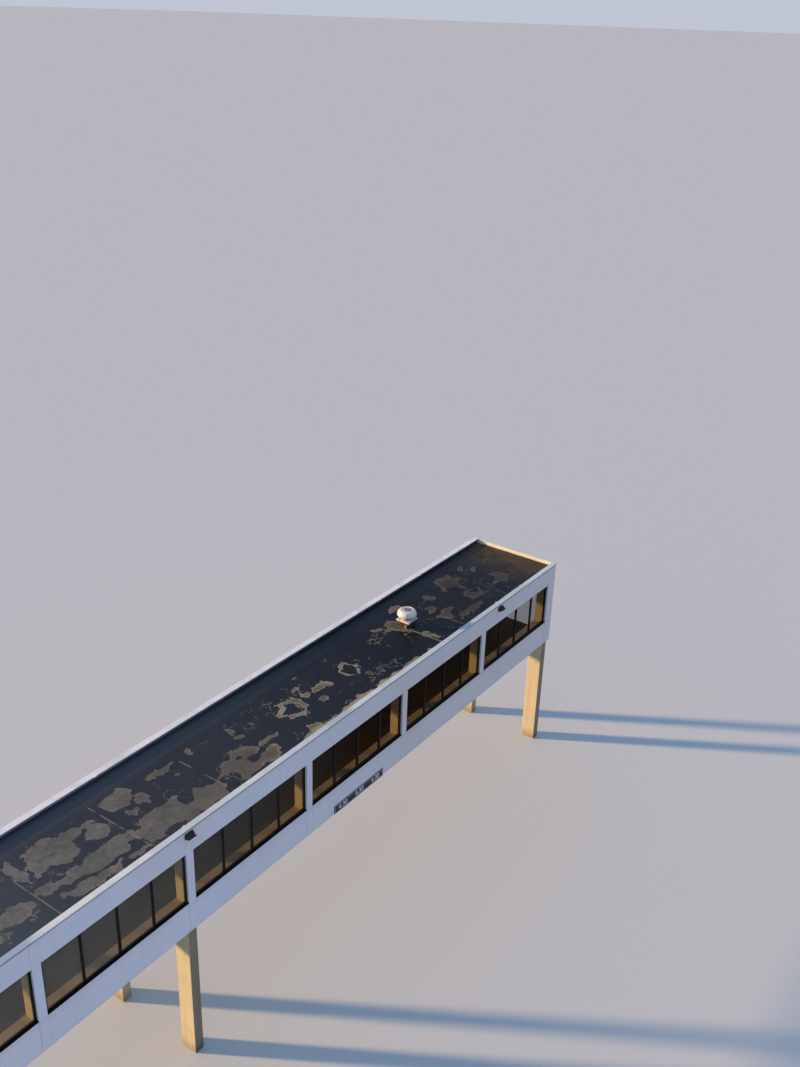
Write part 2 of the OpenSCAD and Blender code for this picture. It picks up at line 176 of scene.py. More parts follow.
def stretch(move):
    """Draws the selected faces or edges out by a move."""
    bpy.ops.mesh.extrude_region_move(TRANSFORM_OT_translate={"value": move})


def head(name, sides, radius, depth, centre, turn, lip, dish=None, rise=None, smooth=None):
    """The round or six-sided head of a fastening: its top is inset by a lip, and then dished or drawn out."""
    piece = drum(sides, radius, depth, centre, turn)
    pick(piece, "faces", lambda f: f.normal.z > 0.5)
    bpy.ops.mesh.inset(thickness=lip)
    if dish:
        bpy.ops.transform.translate(value=dish)
    else:
        stretch(rise)
    return settle(piece, name, smooth)


def copy_at(piece, move):
    """A copy of a piece, with its own mesh, moved by a matrix. A mirrored one gets its faces turned outwards."""
    twin = piece.copy()
    twin.data = piece.data.copy()
    bpy.context.scene.collection.objects.link(twin)
    twin.data.transform(move)
    if move.determinant() < 0:
        activate(twin)
        bpy.ops.object.mode_set(mode="EDIT")
        bpy.ops.mesh.select_all(action="SELECT")
        bpy.ops.mesh.normals_make_consistent(inside=False)
        bpy.ops.object.mode_set(mode="OBJECT")
    return twin


def copies(piece, moves):
    """Copies of a piece, one for each move, in its stead."""
    twins = [copy_at(piece, move) for move in moves]
    bpy.data.objects.remove(piece)
    return twins


def shift(x=0.0, y=0.0, z=0.0):
    return Matrix.Translation((x, y, z))


def join(name, pieces):
    """Joins like pieces into one named piece."""
    activate(pieces[0])
    for piece in pieces:
        piece.select_set(True)
    if len(pieces) > 1:
        bpy.ops.object.join()
    pieces[0].name = pieces[0].data.name = name
    return pieces[0]


def fix(piece, material):
    """Finishes a piece: its material, and the bridge as what it rides on."""
    piece.data.materials.clear()
    piece.data.materials.append(material)
    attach(piece, "root")


def at_each_pier(name, pieces, material):
    """Joins the pieces of the front middle pier into one, and copies it to the three others."""
    first = join("front_mid_" + name, pieces)
    for pier, move in (("front_terminal_", shift(pier_gap)), ("back_mid_", across),
                       ("back_terminal_", shift(pier_gap) @ across)):
        fix(join(pier + name, [copy_at(first, move)]), material)
    fix(first, material)


# Cast concrete: dry, dull and slightly mottled, with fine air holes that only catch the light at low angles
cast_concrete, shader, place = start_material("cast_concrete", {"Roughness": 0.86})
at_x, at_y, at_z = add("SeparateXYZ", (place,)).outputs
mottle = add("TexNoise", {"Vector": place, "Scale": 1.6, "Detail": 6.0, "Roughness": 0.62})
grit = add("TexNoise", {"Vector": place, "Scale": 90.0, "Detail": 3.0})
runs_place = add("Mapping", {"Vector": place, "Scale": (9.0, 9.0, 0.35)})
runs = add("TexNoise", {"Vector": runs_place, "Scale": 1.0, "Detail": 4.0})
runs_share = add("MapRange", (runs, 0.52, 0.72, 0, 0.22))
body = add("Mix", (mottle, concrete_dark, concrete_light))
streaked = add("Mix", (runs_share, body, concrete_wet))
splash_edge = add("Math", (mottle, 0.55, at_z), operation="MULTIPLY_ADD")
splash = add("MapRange", (splash_edge, 0.25, 0.75, 0.75, 0.0), interpolation_type="SMOOTHSTEP")
footed = add("Mix", (splash, streaked, concrete_wet))
lift_wave = add("Math", (at_z, lift_height / 2), operation="PINGPONG")
lift_line = add("MapRange", (lift_wave, 0.0, 0.008, 1.0, 0.0))
lined = add("Mix", (add("Math", (lift_line, 0.35), operation="MULTIPLY"), footed, concrete_wet))
air_holes = add("TexVoronoi", {"Vector": place, "Scale": 26.0, "Randomness": 1.0})
air_depth = add("MapRange", (air_holes, 0.03, 0.11))
surface = add("Math", (grit, 0.25, air_depth), operation="MULTIPLY_ADD")
relief = add("Bump", {"Height": surface, "Strength": 0.5, "Distance": 0.002})
# The outer faces are darker than the others: painted shade, standing in for the little light that reaches them
pier_low, pier_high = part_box("front_mid_pier")
depth_out = add("Math", (at_y,), operation="ABSOLUTE")
shaded_outer_faces = add("MapRange", (depth_out, -pier_low.y - pier_edge, -pier_low.y - pier_edge / 4))
both_tones = add("Mix", (shaded_outer_faces, lined, outer_face_shade), blend_type="MULTIPLY")
feed(shader, {"Base Color": both_tones, "Normal": relief})
dress(cast_concrete, "front_mid_pier", "back_mid_pier", "front_terminal_pier", "back_terminal_pier")

# Tie-hole plugs: a mortar plug with a shallow dish, on both broad faces of each pier
pier_middle = (pier_low + pier_high) / 2
pier_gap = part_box("front_terminal_pier")[0].x - pier_low.x
across = Matrix.Scale(-1, 4, (0, 1, 0))
other_face = shift(2 * pier_middle.x) @ Matrix.Scale(-1, 4, (1, 0, 0))
tie_plug = head("tie_plug", 20, plug_radius, plug_depth, (pier_low.x - plug_depth / 2, pier_middle.y, 0), turn_left,
                plug_radius * 0.3, dish=(plug_depth * 0.9, 0, 0), smooth=40)
tie_plugs = copies(tie_plug, [shift(0, side * plug_spread, z) for z in plug_levels for side in (-1, 1)])
tie_plugs += [copy_at(piece, other_face) for piece in tie_plugs]
at_each_pier("tie_plugs", tie_plugs, cast_concrete)


# The bridge rests on rubber bearing blocks with steel plates between the layers. Each stands on a base plate that
# two anchor bolts hold down to the pier.
bearing_grey, rubber_black, rubber_dusty = "6a6b6a", "232426", "3b3a37"
layer_height, bearing_depth = 0.008, 0.200
base_plate_size, base_plate_shift, base_plate_corner = Vector((0.28, 0.36, 0.010)), 0.060, 0.02
anchor_radius, anchor_height, anchor_end = 0.019, 0.018, 0.007
anchor_spread, anchor_out = 0.085, 0.125


def block(size, centre, lean=0.0):
    """A cuboid added at size and place, leaning about the X axis, and left in edit mode to be shaped."""
    deselect()
    bpy.ops.mesh.primitive_cube_add(size=1, location=centre, scale=size, rotation=(lean, 0, 0))
    bpy.ops.object.transform_apply(location=True, rotation=True, scale=True)
    bpy.ops.object.mode_set(mode="EDIT")
    return bpy.context.object


def span(edge, axis):
    """How far an edge reaches along an axis."""
    return abs(edge.verts[0].co[axis] - edge.verts[1].co[axis])


# Laminated bearing block: dull black rubber with thin edges of grey steel plate
bearing_block, shader, place = start_material("laminated_bearing_rubber", {"Roughness": 0.7})
at_x, at_y, at_z = add("SeparateXYZ", (place,)).outputs
layers = add("Math", (at_z, layer_height / 2), operation="PINGPONG")
edges = add("MapRange", (layers, 0.0005, 0.0012))
smudge = add("TexNoise", {"Vector": place, "Scale": 18.0, "Detail": 4.0})
dusty = add("Mix", (smudge, rubber_black, rubber_dusty))
layered = add("Mix", (edges, bearing_grey, dusty))
relief = add("Bump", {"Height": edges, "Strength": 0.4, "Distance": 0.001}, invert=True)
feed(shader, {"Base Color": layered, "Normal": relief})
dress(bearing_block, "bearing_plates")

# Hot-dip galvanised steel: grey, dull, with a faint spangle
galvanised_steel, shader, place = start_material("galvanised_steel", {"Metallic": 0.75})
spangle = add("TexVoronoi", {"Vector": place, "Scale": 90.0}).outputs["Color"]
tone = add("Mix", (spangle, "7b7e80", "a3a6a7"))
dull = add("MapRange", (spangle, 0, 1, 0.42, 0.62))
feed(shader, {"Base Color": tone, "Roughness": dull})

seat_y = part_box("bearing_plates")[0].y + bearing_depth / 2 + base_plate_shift
base_plate = block(base_plate_size, (pier_middle.x, seat_y, pier_high.z + base_plate_size.z / 2))
pick(base_plate, "edges", lambda e: span(e, 2) > base_plate_size.z / 2)
bpy.ops.mesh.bevel(offset=base_plate_corner, segments=2)
seat_parts = [settle(base_plate, "base_plate")]
for side in (-1, 1):
    nut_place = (pier_middle.x + side * anchor_spread, seat_y + anchor_out,
                 pier_high.z + base_plate_size.z + anchor_height / 2)
    seat_parts.append(head("nut", 6, anchor_radius, anchor_height, nut_place, no_turn, anchor_radius * 0.4,
                           rise=(0, 0, anchor_end)))
at_each_pier("bearing_seat", seat_parts, galvanised_steel)


# Posts, lower panels and fascia panels are smooth sheet-metal cladding over the girders, coated matt off-white.
# Rain has left faint runs under the coping and the windows, and the joints beside the posts are sealed.
paint_white, paint_grime, paint_pink = "dde2e9", "b0b5bf", "dedade"
lining_cream, terminal_tint = "f3e29a", "f2ece3"
bay_count, bay_pitch, post_width = 6, 4.572, 0.239
window_width = bay_pitch - post_width
wall_low, wall_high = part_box("front_posts")
lower_low, lower_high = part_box("front_lower_panels")
fascia_low, fascia_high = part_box("front_fascia_panels")
face_y = wall_low.y
sill_z, head_z = lower_high.z, fascia_low.z
lining_start = 0.085
silicone_dirty, silicone_grey = "7c7f86", "9a9da3"
lower_bead, fascia_bead, bead_end = 0.0075, 0.0040, 0.002

# Coil-coated wall sheet: matt and even, its off-white dulled by thin rain runs and a film, browner at the terminal
wall_sheet, shader, place = start_material("coil_coated_wall_sheet", {"Roughness": 0.55, "Specular IOR Level": 0.35})
at_x, at_y, at_z = add("SeparateXYZ", (place,)).outputs
cloud = add("TexNoise", {"Vector": place, "Scale": 0.55, "Detail": 5.0, "Roughness": 0.6})
run_place = add("Mapping", {"Vector": place, "Scale": (7.0, 7.0, 0.5)})
run_noise = add("TexNoise", {"Vector": run_place, "Scale": 1.0, "Detail": 5.0, "Roughness": 0.65})
run_share = add("MapRange", (run_noise, 0.5, 0.78, 0, 0.24), interpolation_type="SMOOTHSTEP")
fine_place = add("Mapping", {"Vector": place, "Scale": (40.0, 40.0, 1.3)})
fine_runs = add("TexNoise", {"Vector": fine_place, "Scale": 1.0, "Detail": 3.0})
fine_share = add("MapRange", (fine_runs, 0.55, 0.8, 0, 0.14))
film = add("MapRange", (cloud, 0.35, 0.7, 0, 0.3))
foot = add("MapRange", (at_z, wall_low.z, wall_low.z + 0.1, 0.35, 0.0), interpolation_type="SMOOTHSTEP")
below_sill = add("MapRange", (at_z, sill_z - 0.3, sill_z, 0.0, 0.3), interpolation_type="SMOOTHSTEP")
above_head = add("Math", (at_z, sill_z + 0.02), operation="LESS_THAN")
sill_wash = add("Math", (below_sill, above_head), operation="MULTIPLY")
grime = sill_wash
for part in (run_share, fine_share, film, foot):
    grime = add("Math", (grime, part), operation="ADD")
grime_share = add("Math", (grime, 0.62), operation="MULTIPLY", use_clamp=True)
warm_spots = add("TexNoise", {"Vector": place, "Scale": 0.35, "Detail": 2.0})
warm_share = add("MapRange", (warm_spots, 0.5, 0.75))
base = add("Mix", (warm_share, paint_white, paint_pink))
weathered = add("Mix", (grime_share, base, paint_grime))
depth_in = add("Math", (at_y,), operation="ABSOLUTE")
inner_side = add("Math", (depth_in, abs(face_y) - lining_start), operation="LESS_THAN")
along = add("Math", (at_x,), operation="ABSOLUTE")
between_ends = add("Math", (along, wall_high.x - 0.002), operation="LESS_THAN")
lined = add("Math", (inner_side, between_ends), operation="MULTIPLY")
# The outside of the sheet is made darker and browner towards the terminal end
terminal_share = add("MapRange", (at_x, -4.0, 5.0))
terminal_toned = add("Mix", (terminal_share, weathered, terminal_tint), blend_type="MULTIPLY")
both_sides = add("Mix", (lined, terminal_toned, lining_cream))
ripple = add("TexNoise", {"Vector": place, "Scale": 1.1, "Detail": 2.0})
relief = add("Bump", {"Height": ripple, "Strength": 0.25, "Distance": 0.01})
sheen = add("MapRange", (grime_share, 0, 1, 0.48, 0.72))
feed(shader, {"Base Color": both_sides, "Roughness": sheen, "Normal": relief})
dress(wall_sheet, "front_posts", "back_posts", "front_lower_panels", "back_lower_panels",
      "front_fascia_panels", "back_fascia_panels")


def mottled(name, constants, noise, tones, spread=None, relief=None):
    """A material of two tones, mixed by a noise with a scale, detail and roughness. A relief has a strength and a
    depth. It comes from the same noise, or from a finer one where its scale is given too."""
    material, shader, place = start_material(name, constants)
    blotches = add("TexNoise", {"Vector": place, **dict(zip(("Scale", "Detail", "Roughness"), noise))})
    share = add("MapRange", (blotches, *spread)) if spread else blotches
    feed(shader, {"Base Color": add("Mix", (share, *tones))})
    if relief:
        strength, depth, *finer = relief
        fine = add("TexNoise", {"Vector": place, "Scale": finer[0], "Detail": 2.0}) if finer else blotches
        feed(shader, {"Normal": add("Bump", {"Height": fine, "Strength": strength, "Distance": depth})})
    return material


def both_sides(name, pieces, material, slot):
    """Joins the pieces of the front side into one, and mirrors it to the back side."""
    front = join("front_" + name, pieces)
    fix(join("back_" + name, [copy_at(front, across)]), material)
    fix(front, material)


# Sealant: a tooled bead of weathered grey silicone in each joint beside a post
silicone = mottled("weathered_silicone", {"Roughness": 0.6, "Specular IOR Level": 0.4}, (14.0, 4.0),
                   (silicone_dirty, silicone_grey), relief=(0.4, 0.002))

window_start = wall_low.x + post_width
bays = [bay * bay_pitch for bay in range(bay_count)]
beads = []
for low, high, radius in ((lower_low.z, lower_high.z, lower_bead), (fascia_low.z, fascia_high.z, fascia_bead)):
    bead = drum(10, radius, high - low - 2 * bead_end, (window_start, face_y + radius * 1.15, (low + high) / 2))
    bpy.ops.mesh.select_all(action="SELECT")
    bpy.ops.mesh.bisect(plane_co=(window_start, face_y + radius * 1.6, 0), plane_no=(0, 1, 0),
                        clear_outer=True, use_fill=True)
    settle(bead, "bead", smooth=50)
    beads += copies(bead, [shift(bay + side) for bay in bays for side in (0, window_width)])
both_sides("joint_sealant", beads, silicone, "wall_paint")


# Inside, boards close the wall over each window up to the ceiling, and line the posts on both sides of it. They are
# screwed to battens, filled, and rolled with eggshell paint: white over the window, warm cream beside it.
board_white, board_shade, cream_scuffed = "e4e0d3", "d3cdbd", "c9b17f"
stipple_scale, stipple_strength, stipple_depth = 260.0, 0.2, 0.0006

# Painted board: eggshell paint, rolled on, with the faint stipple of the roller
painted_board = mottled("rolled_paint_on_board", {"Roughness": 0.6, "Specular IOR Level": 0.35}, (2.5, 4.0),
                        (board_shade, board_white), relief=(stipple_strength, stipple_depth, stipple_scale))
dress(painted_board, "front_head_linings", "back_head_linings")

# The cream paint of the jambs: the same roller stipple, yellowed by the sun, with scuffs near the ledge
cream_board, shader, place = start_material("cream_paint_on_board", {"Roughness": 0.55, "Specular IOR Level": 0.35})
at_x, at_y, at_z = add("SeparateXYZ", (place,)).outputs
low_share = add("MapRange", (at_z, sill_z, sill_z + 0.45, 0.5, 0))
scuff_noise = add("TexNoise", {"Vector": place, "Scale": 9.0, "Detail": 5.0, "Roughness": 0.65})
scuffs = add("Math", (low_share, scuff_noise), operation="MULTIPLY")
tone = add("Mix", (scuffs, lining_cream, cream_scuffed))
stipple = add("TexNoise", {"Vector": place, "Scale": stipple_scale, "Detail": 2.0})
relief = add("Bump", {"Height": stipple, "Strength": stipple_strength, "Distance": stipple_depth})
feed(shader, {"Base Color": tone, "Normal": relief})
dress(cream_board, "front_jamb_linings", "back_jamb_linings")


# Each bay has a storefront frame of extruded aluminium, anodised dark bronze, with three mullions. Snap-on caps
# cover its joints, and a sub-sill under it throws the water clear of the wall.
bronze_dark, bronze_light = "140f0d", "241c18"
rubber_dark, rubber_bloom = "131314", "27282a"
frame_bar, pane_count = 0.050, 4
frame_face = face_y + 0.060
pane_width = (window_width - (pane_count + 1) * frame_bar) / pane_count
pane_step = pane_width + frame_bar
cap_width, cap_depth, cap_edge, cap_gap = 0.036, 0.007, 0.0025, 0.001
cap_low, cap_high = sill_z + 0.024, head_z - 0.004
gasket_width, gasket_depth, gasket_bevel, lip_width = 0.009, 0.008, 0.003, 0.008

# Anodised aluminium: satin dark bronze with fine drawing lines along the extrusion
anodised_bronze, shader, place = start_material("bronze_anodised_aluminium", {
    "Metallic": 0.35, "Specular IOR Level": 0.15})
draw_place = add("Mapping", {"Vector": place, "Scale": (3.0, 300.0, 300.0)})
draw_lines = add("TexNoise", {"Vector": draw_place, "Scale": 1.0, "Detail": 2.0})
chalk = add("TexNoise", {"Vector": place, "Scale": 3.0, "Detail": 5.0, "Roughness": 0.65})
tone = add("Mix", (chalk, bronze_dark, bronze_light))
satin = add("MapRange", (draw_lines, 0, 1, 0.36, 0.52))
relief = add("Bump", {"Height": draw_lines, "Strength": 0.15, "Distance": 0.0004})
feed(shader, {"Base Color": tone, "Roughness": satin, "Normal": relief})
dress(anodised_bronze, "front_window_frames", "back_window_frames")

upright_moves = [shift(bay + k * pane_step) for bay in bays for k in range(pane_count + 1)]
rail_moves = [shift(bay + k * pane_step, 0, drop) for bay in bays for k in range(pane_count)
              for drop in (0, sill_z + frame_bar - head_z)]
caps = []
for way, length, x, z, moves in (
        (2, cap_high - cap_low, window_start + frame_bar / 2, (cap_low + cap_high) / 2, upright_moves),
        (0, pane_step - cap_width - cap_gap, window_start + frame_bar + pane_width / 2, head_z - frame_bar / 2,
         rail_moves)):
    size = Vector((cap_width, cap_depth, cap_width))
    size[way] = length
    cap = block(size, (x, frame_face - cap_depth / 2, z))
    pick(cap, "edges", lambda e: span(e, way) > cap_width and e.verts[0].co.y < frame_face - cap_depth / 2)
    bpy.ops.mesh.bevel(offset=cap_edge, segments=2)
    pick(cap, "faces", lambda f: f.normal.y < -0.9)
    bpy.ops.mesh.inset(thickness=cap_width * 0.3)
    bpy.ops.transform.translate(value=(0, cap_edge * 0.6, 0))
    caps += copies(settle(cap, "cap"), moves)
both_sides("mullion_caps", caps, anodised_bronze, "frame_bronze")


def sheet(length, depth, centre, turn=no_turn):
    """A flat rectangle added at size and place, and left in edit mode to be shaped."""
    deselect()
    bpy.ops.mesh.primitive_plane_add(size=1, location=centre, rotation=turn)
    piece = bpy.context.object
    piece.scale = (length, depth, 1)
    bpy.ops.object.transform_apply(location=True, rotation=True, scale=True)
    bpy.ops.object.mode_set(mode="EDIT")
    return piece


def flat_ring(length, height, centre, width, depth):
    """An upright rectangular ring, which stands out from its place towards the front, left in edit mode."""
    ring = sheet(length, height, centre, turn_front)
    pick(ring, "faces", lambda f: True)
    bpy.ops.mesh.inset(thickness=width)
    bpy.ops.mesh.delete(type="FACE")
    pick(ring, "faces", lambda f: True)
    stretch((0, -depth, 0))
    bpy.ops.mesh.select_all(action="SELECT")
    bpy.ops.mesh.normals_make_consistent(inside=False)
    return ring


# Glazing gaskets: black rubber wedges between the frame's lip and the glass, all round each pane
gasket_rubber = mottled("glazing_rubber", {"Roughness": 0.65}, (9.0, 3.0), (rubber_dark, rubber_bloom))

glass_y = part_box("front_glass")[0].y
pane_low, pane_high = sill_z + frame_bar + lip_width, head_z - frame_bar - lip_width
pane_middle = window_start + frame_bar + pane_width / 2
gasket = flat_ring(pane_width - 2 * lip_width, pane_high - pane_low,
                   (pane_middle, glass_y - 0.0005, (pane_low + pane_high) / 2), gasket_width, gasket_depth)
pick(gasket, "edges", lambda e: all(v.co.y < glass_y - gasket_depth / 2
                                    and abs(v.co.x - pane_middle) < pane_width / 2 - gasket_width for v in e.verts))
bpy.ops.mesh.bevel(offset=gasket_bevel, segments=1)
gaskets = copies(settle(gasket, "gasket"), [shift(bay + k * pane_step) for bay in bays for k in range(pane_count)])
both_sides("glazing_gaskets", gaskets, gasket_rubber, "frame_bronze")


# Four sealed double units of bronze tinted float glass fill each bay, set in rubber behind the frame's outer lip.
# They stay clear enough to show the sunlit ledge and jamb inside.
glass_tint, glass_reflection_grey = "1c140b", "898777"

# Bronze tinted float glass: smooth, dark where nothing behind it is lit. Over the outer bays a mottled grey is
# painted in: a painted reflection of the ground in front
tinted_glass, shader, place = start_material("bronze_float_glass", {
    "IOR": 1.52, "Specular IOR Level": 0.0})
at_x, at_y, at_z = add("SeparateXYZ", (place,)).outputs
film = add("TexNoise", {"Vector": place, "Scale": 1.4, "Detail": 5.0, "Roughness": 0.6})
reflection_bays = add("MapRange", (at_x, -11.0, 3.4, 1.0, 0.0), interpolation_type="SMOOTHSTEP")
reflection_cloud = add("MapRange", (film, 0.3, 0.7, 0.8, 1.1))
reflection_share = add("Math", (reflection_bays, reflection_cloud), operation="MULTIPLY", use_clamp=True)
tone = add("Mix", (reflection_share, glass_tint, glass_reflection_grey))
# The glass is more opaque towards the terminal end, which darkens the far bays: painted shade
cover = add("MapRange", (at_x, -12.0, 12.0, 0.34, 0.41))
haze = add("MapRange", (film, 0.35, 0.8, 0.05, 0.15))
feed(shader, {"Base Color": tone, "Roughness": haze, "Alpha": cover})
dress(tinted_glass, "front_glass", "back_glass")


# A deep board with a round nose lies on the lower wall inside each window. It is chipboard faced with laminate, its
# front edge wrapped by the same sheet, and the low sun from the back windows lights it.
ledge_light, ledge_dark = "dccb9c", "c9b181"

# Satin laminate in a pale oak print: straight grain along the board
laminate, shader, place = start_material("satin_oak_laminate", {"Roughness": 0.42})
grain_place = add("Mapping", {"Vector": place, "Scale": (1.2, 60.0, 60.0)})
grain = add("TexNoise", {"Vector": grain_place, "Scale": 1.0, "Detail": 6.0, "Distortion": 0.6})
tone = add("Mix", (grain, ledge_dark, ledge_light))
relief = add("Bump", {"Height": grain, "Strength": 0.12, "Distance": 0.0005})
feed(shader, {"Base Color": tone, "Normal": relief})
dress(laminate, "front_window_ledges", "back_window_ledges")


# Flat cement boards, painted grey-white, close the underside between the walls. They are screwed up to the floor
# beams, and battens cover their joints.
soffit_shade, soffit_white = "a9aaab", "cfd0d1"
board_length, batten_width, batten_depth, batten_edge = 1.2192, 0.060, 0.012, 0.004

# Painted cement board: matt, slightly cloudy, dusty in places
soffit_paint = mottled("painted_cement_board", {"Roughness": 0.75}, (0.9, 6.0, 0.62), (soffit_shade, soffit_white),
                       relief=(0.25, 0.0008, 180.0))
dress(soffit_paint, "soffit")

soffit_low, soffit_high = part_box("soffit")
batten_count = int((soffit_high.x - soffit_low.x) / board_length)
batten_first = (soffit_low.x + soffit_high.x) / 2 - (batten_count - 1) * board_length / 2
batten = block((batten_width, soffit_high.y - soffit_low.y - 0.02, batten_depth),
               (batten_first, 0, soffit_low.z - batten_depth / 2))
pick(batten, "edges", lambda e: all(v.co.z < soffit_low.z - batten_depth / 2 for v in e.verts)
     and span(e, 1) > batten_width)
bpy.ops.mesh.bevel(offset=batten_edge, segments=1)
battens = copies(settle(batten, "batten"), [shift(k * board_length) for k in range(batten_count)])
fix(join("soffit_battens", battens), soffit_paint)


# Primed wide-flange steel beams carry a concrete slab from wall to wall, with carpet tiles glued to it. Beams and
# slab show at the open ends only.
primer_grey, primer_rust = "6f6a68", "6b4630"
paste_dark, paste_light, stone_pale = "807e79", "9a9892", "aba79d"
carpet_brown, carpet_pale, carpet_shade = "62523e", "675743", "574836"
carpet_tile = 0.5
skirting_height, skirting_depth, skirting_round = 0.100, 0.012, 0.009

# Primer on steel: dull red-grey paint with a little rust
steel_primer = mottled("primed_steel", {"Roughness": 0.68}, (7.0, 6.0, 0.7), (primer_grey, primer_rust),
                       spread=(0.6, 0.72), relief=(0.3, 0.001))
dress(steel_primer, "floor_beams", "roof_beams")

# Floated concrete: grey, close-grained, with pale stone showing in its cut edge
floated_concrete, shader, place = start_material("floated_concrete", {"Roughness": 0.88})
stones = add("TexVoronoi", {"Vector": place, "Scale": 55.0})
stone_share = add("MapRange", (stones, 0.3, 0.42))
paste = add("TexNoise", {"Vector": place, "Scale": 6.0, "Detail": 5.0})
paste_tone = add("Mix", (paste, paste_dark, paste_light))
tone = add("Mix", (stone_share, stone_pale, paste_tone))
relief = add("Bump", {"Height": stone_share, "Strength": 0.3, "Distance": 0.001}, invert=True)
feed(shader, {"Base Color": tone, "Normal": relief})
dress(floated_concrete, "floor_slab")

# Loop carpet tiles, 500 mm square, brown-grey, paler where they are worn
loop_carpet, shader, place = start_material("loop_carpet_tiles", {"Roughness": 0.95, "Specular IOR Level": 0.1})
wear = add("TexNoise", {"Vector": place, "Scale": 1.3, "Detail": 3.0})
tiles = add("TexChecker", {"Vector": place, "Scale": 1 / carpet_tile, "Color1": carpet_pale, "Color2": carpet_brown})
feed(shader, {"Base Color": add("Mix", (wear, carpet_shade, tiles))})
dress(loop_carpet, "floor_covering")

# Skirtings: painted boards with a rounded top edge, along the foot of both walls inside
carpet_low, carpet_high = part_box("floor_covering")
skirting = block((carpet_high.x - carpet_low.x - 0.01, skirting_depth, skirting_height),
                 (0, carpet_low.y + skirting_depth / 2, carpet_high.z + skirting_height / 2))
pick(skirting, "edges", lambda e: all(v.co.z > carpet_high.z + skirting_height / 2
                                      and v.co.y > carpet_low.y + skirting_depth / 2 for v in e.verts))
bpy.ops.mesh.bevel(offset=skirting_round, segments=3)
both_sides("skirting", [settle(skirting, "skirting", smooth=40)], painted_board, "inner_board")


# Mineral fibre tiles lie in a white metal grid at 610 mm centres. The grid hangs from the roof beams, level with
# the top of the head linings.
tile_pit, tile_white, bar_white = "a8a59b", "d8d5ca", "e8e6df"
grid_pitch, grid_bar = 0.6096, 0.024

# Mineral fibre tile: soft white, dull, with small pits. The metal grid shows as smoother bars
ceiling_tile, shader, place = start_material("mineral_fibre_tile", {"Roughness": 0.9, "Specular IOR Level": 0.2})
at_x, at_y, at_z = add("SeparateXYZ", (place,)).outputs
bars = []
for at in (at_x, at_y):
    wave = add("Math", (at, grid_pitch / 2), operation="PINGPONG")
    bars.append(add("Math", (wave, grid_bar / 2), operation="LESS_THAN"))
grid = add("Math", bars, operation="MAXIMUM")
pits = add("TexVoronoi", {"Vector": place, "Scale": 120.0})
pit_share = add("MapRange", (pits, 0.12, 0.3))
tile_tone = add("Mix", (pit_share, tile_pit, tile_white))
feed(shader, {"Base Color": add("Mix", (grid, tile_tone, bar_white))})
dress(ceiling_tile, "ceiling")


# Insulation boards lie in two layers on profiled steel sheet, with a hard cover board under the roof sheet. The
# layers show at the open ends only.
deck_low, deck_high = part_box("roof_deck")
steel_sheet_depth, cover_board_depth = 0.045, 0.013

# Roof build-up in section: steel sheet, two layers of yellow foam board, and a grey cover board on top
roof_layers, shader, place = start_material("roof_insulation_boards", {"Roughness": 0.9})
at_x, at_y, at_z = add("SeparateXYZ", (place,)).outputs
foam_noise = add("TexNoise", {"Vector": place, "Scale": 120.0, "Detail": 3.0})
foam = add("Mix", (foam_noise, "b09a62", "cdbb86"))
layer_colour = foam
for level, low_side, colour in ((deck_low.z + steel_sheet_depth, True, "7d8082"),
                                (deck_high.z - cover_board_depth, False, "8b8a86")):
    side = add("Math", (at_z, level), operation="LESS_THAN" if low_side else "GREATER_THAN")
    layer_colour = add("Mix", (side, layer_colour, colour))
mid_level = (deck_low.z + steel_sheet_depth + deck_high.z - cover_board_depth) / 2
mid_gap = add("Math", (at_z, mid_level, 0.0015), operation="COMPARE")
tone = add("Mix", (mid_gap, layer_colour, "4d4638"))
relief = add("Bump", {"Height": foam_noise, "Strength": 0.4, "Distance": 0.002})
feed(shader, {"Base Color": tone, "Normal": relief})
dress(roof_layers, "roof_deck")


# Black rubber sheet is glued down in strips across the roof, lapped and taped, and turned up over the parapets. Rain
# water that stood on it has left patches of dried silt: broad and flat on the outer bays, in rings further on.
sheet_terminal, sheet_outer, sheet_far, sheet_worn_and_painted_light = "0d0e10", "232623", "404749", "34383a"
silt_tan, silt_grey, silt_brown, silt_rust = "98937f", "6d7674", "525148", "514732"
# The tones of the turned-up sheet are painted pale: painted light, as the sheet lies in the coping's shade.
upturn_painted_light_outer, upturn_painted_light_terminal = "8a9298", "6a7076"
seam_pitch, seam_first, seam_half_width, seam_edge_width = 2.75, 2.95, 0.05, 0.019
old_lap_x, long_mark_y, mark_half_width = 6.8, -0.38, 0.024
roof_low, roof_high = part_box("roof_membrane")
roof_end = roof_high.x
upstand_low, upstand_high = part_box("front_roof_upstand")
roof_z = upstand_low.z
inside_y = upstand_high.y
fan_low, fan_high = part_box("fan_curb")
fan_x = (fan_low.x + fan_high.x) / 2
apron_size = 0.68
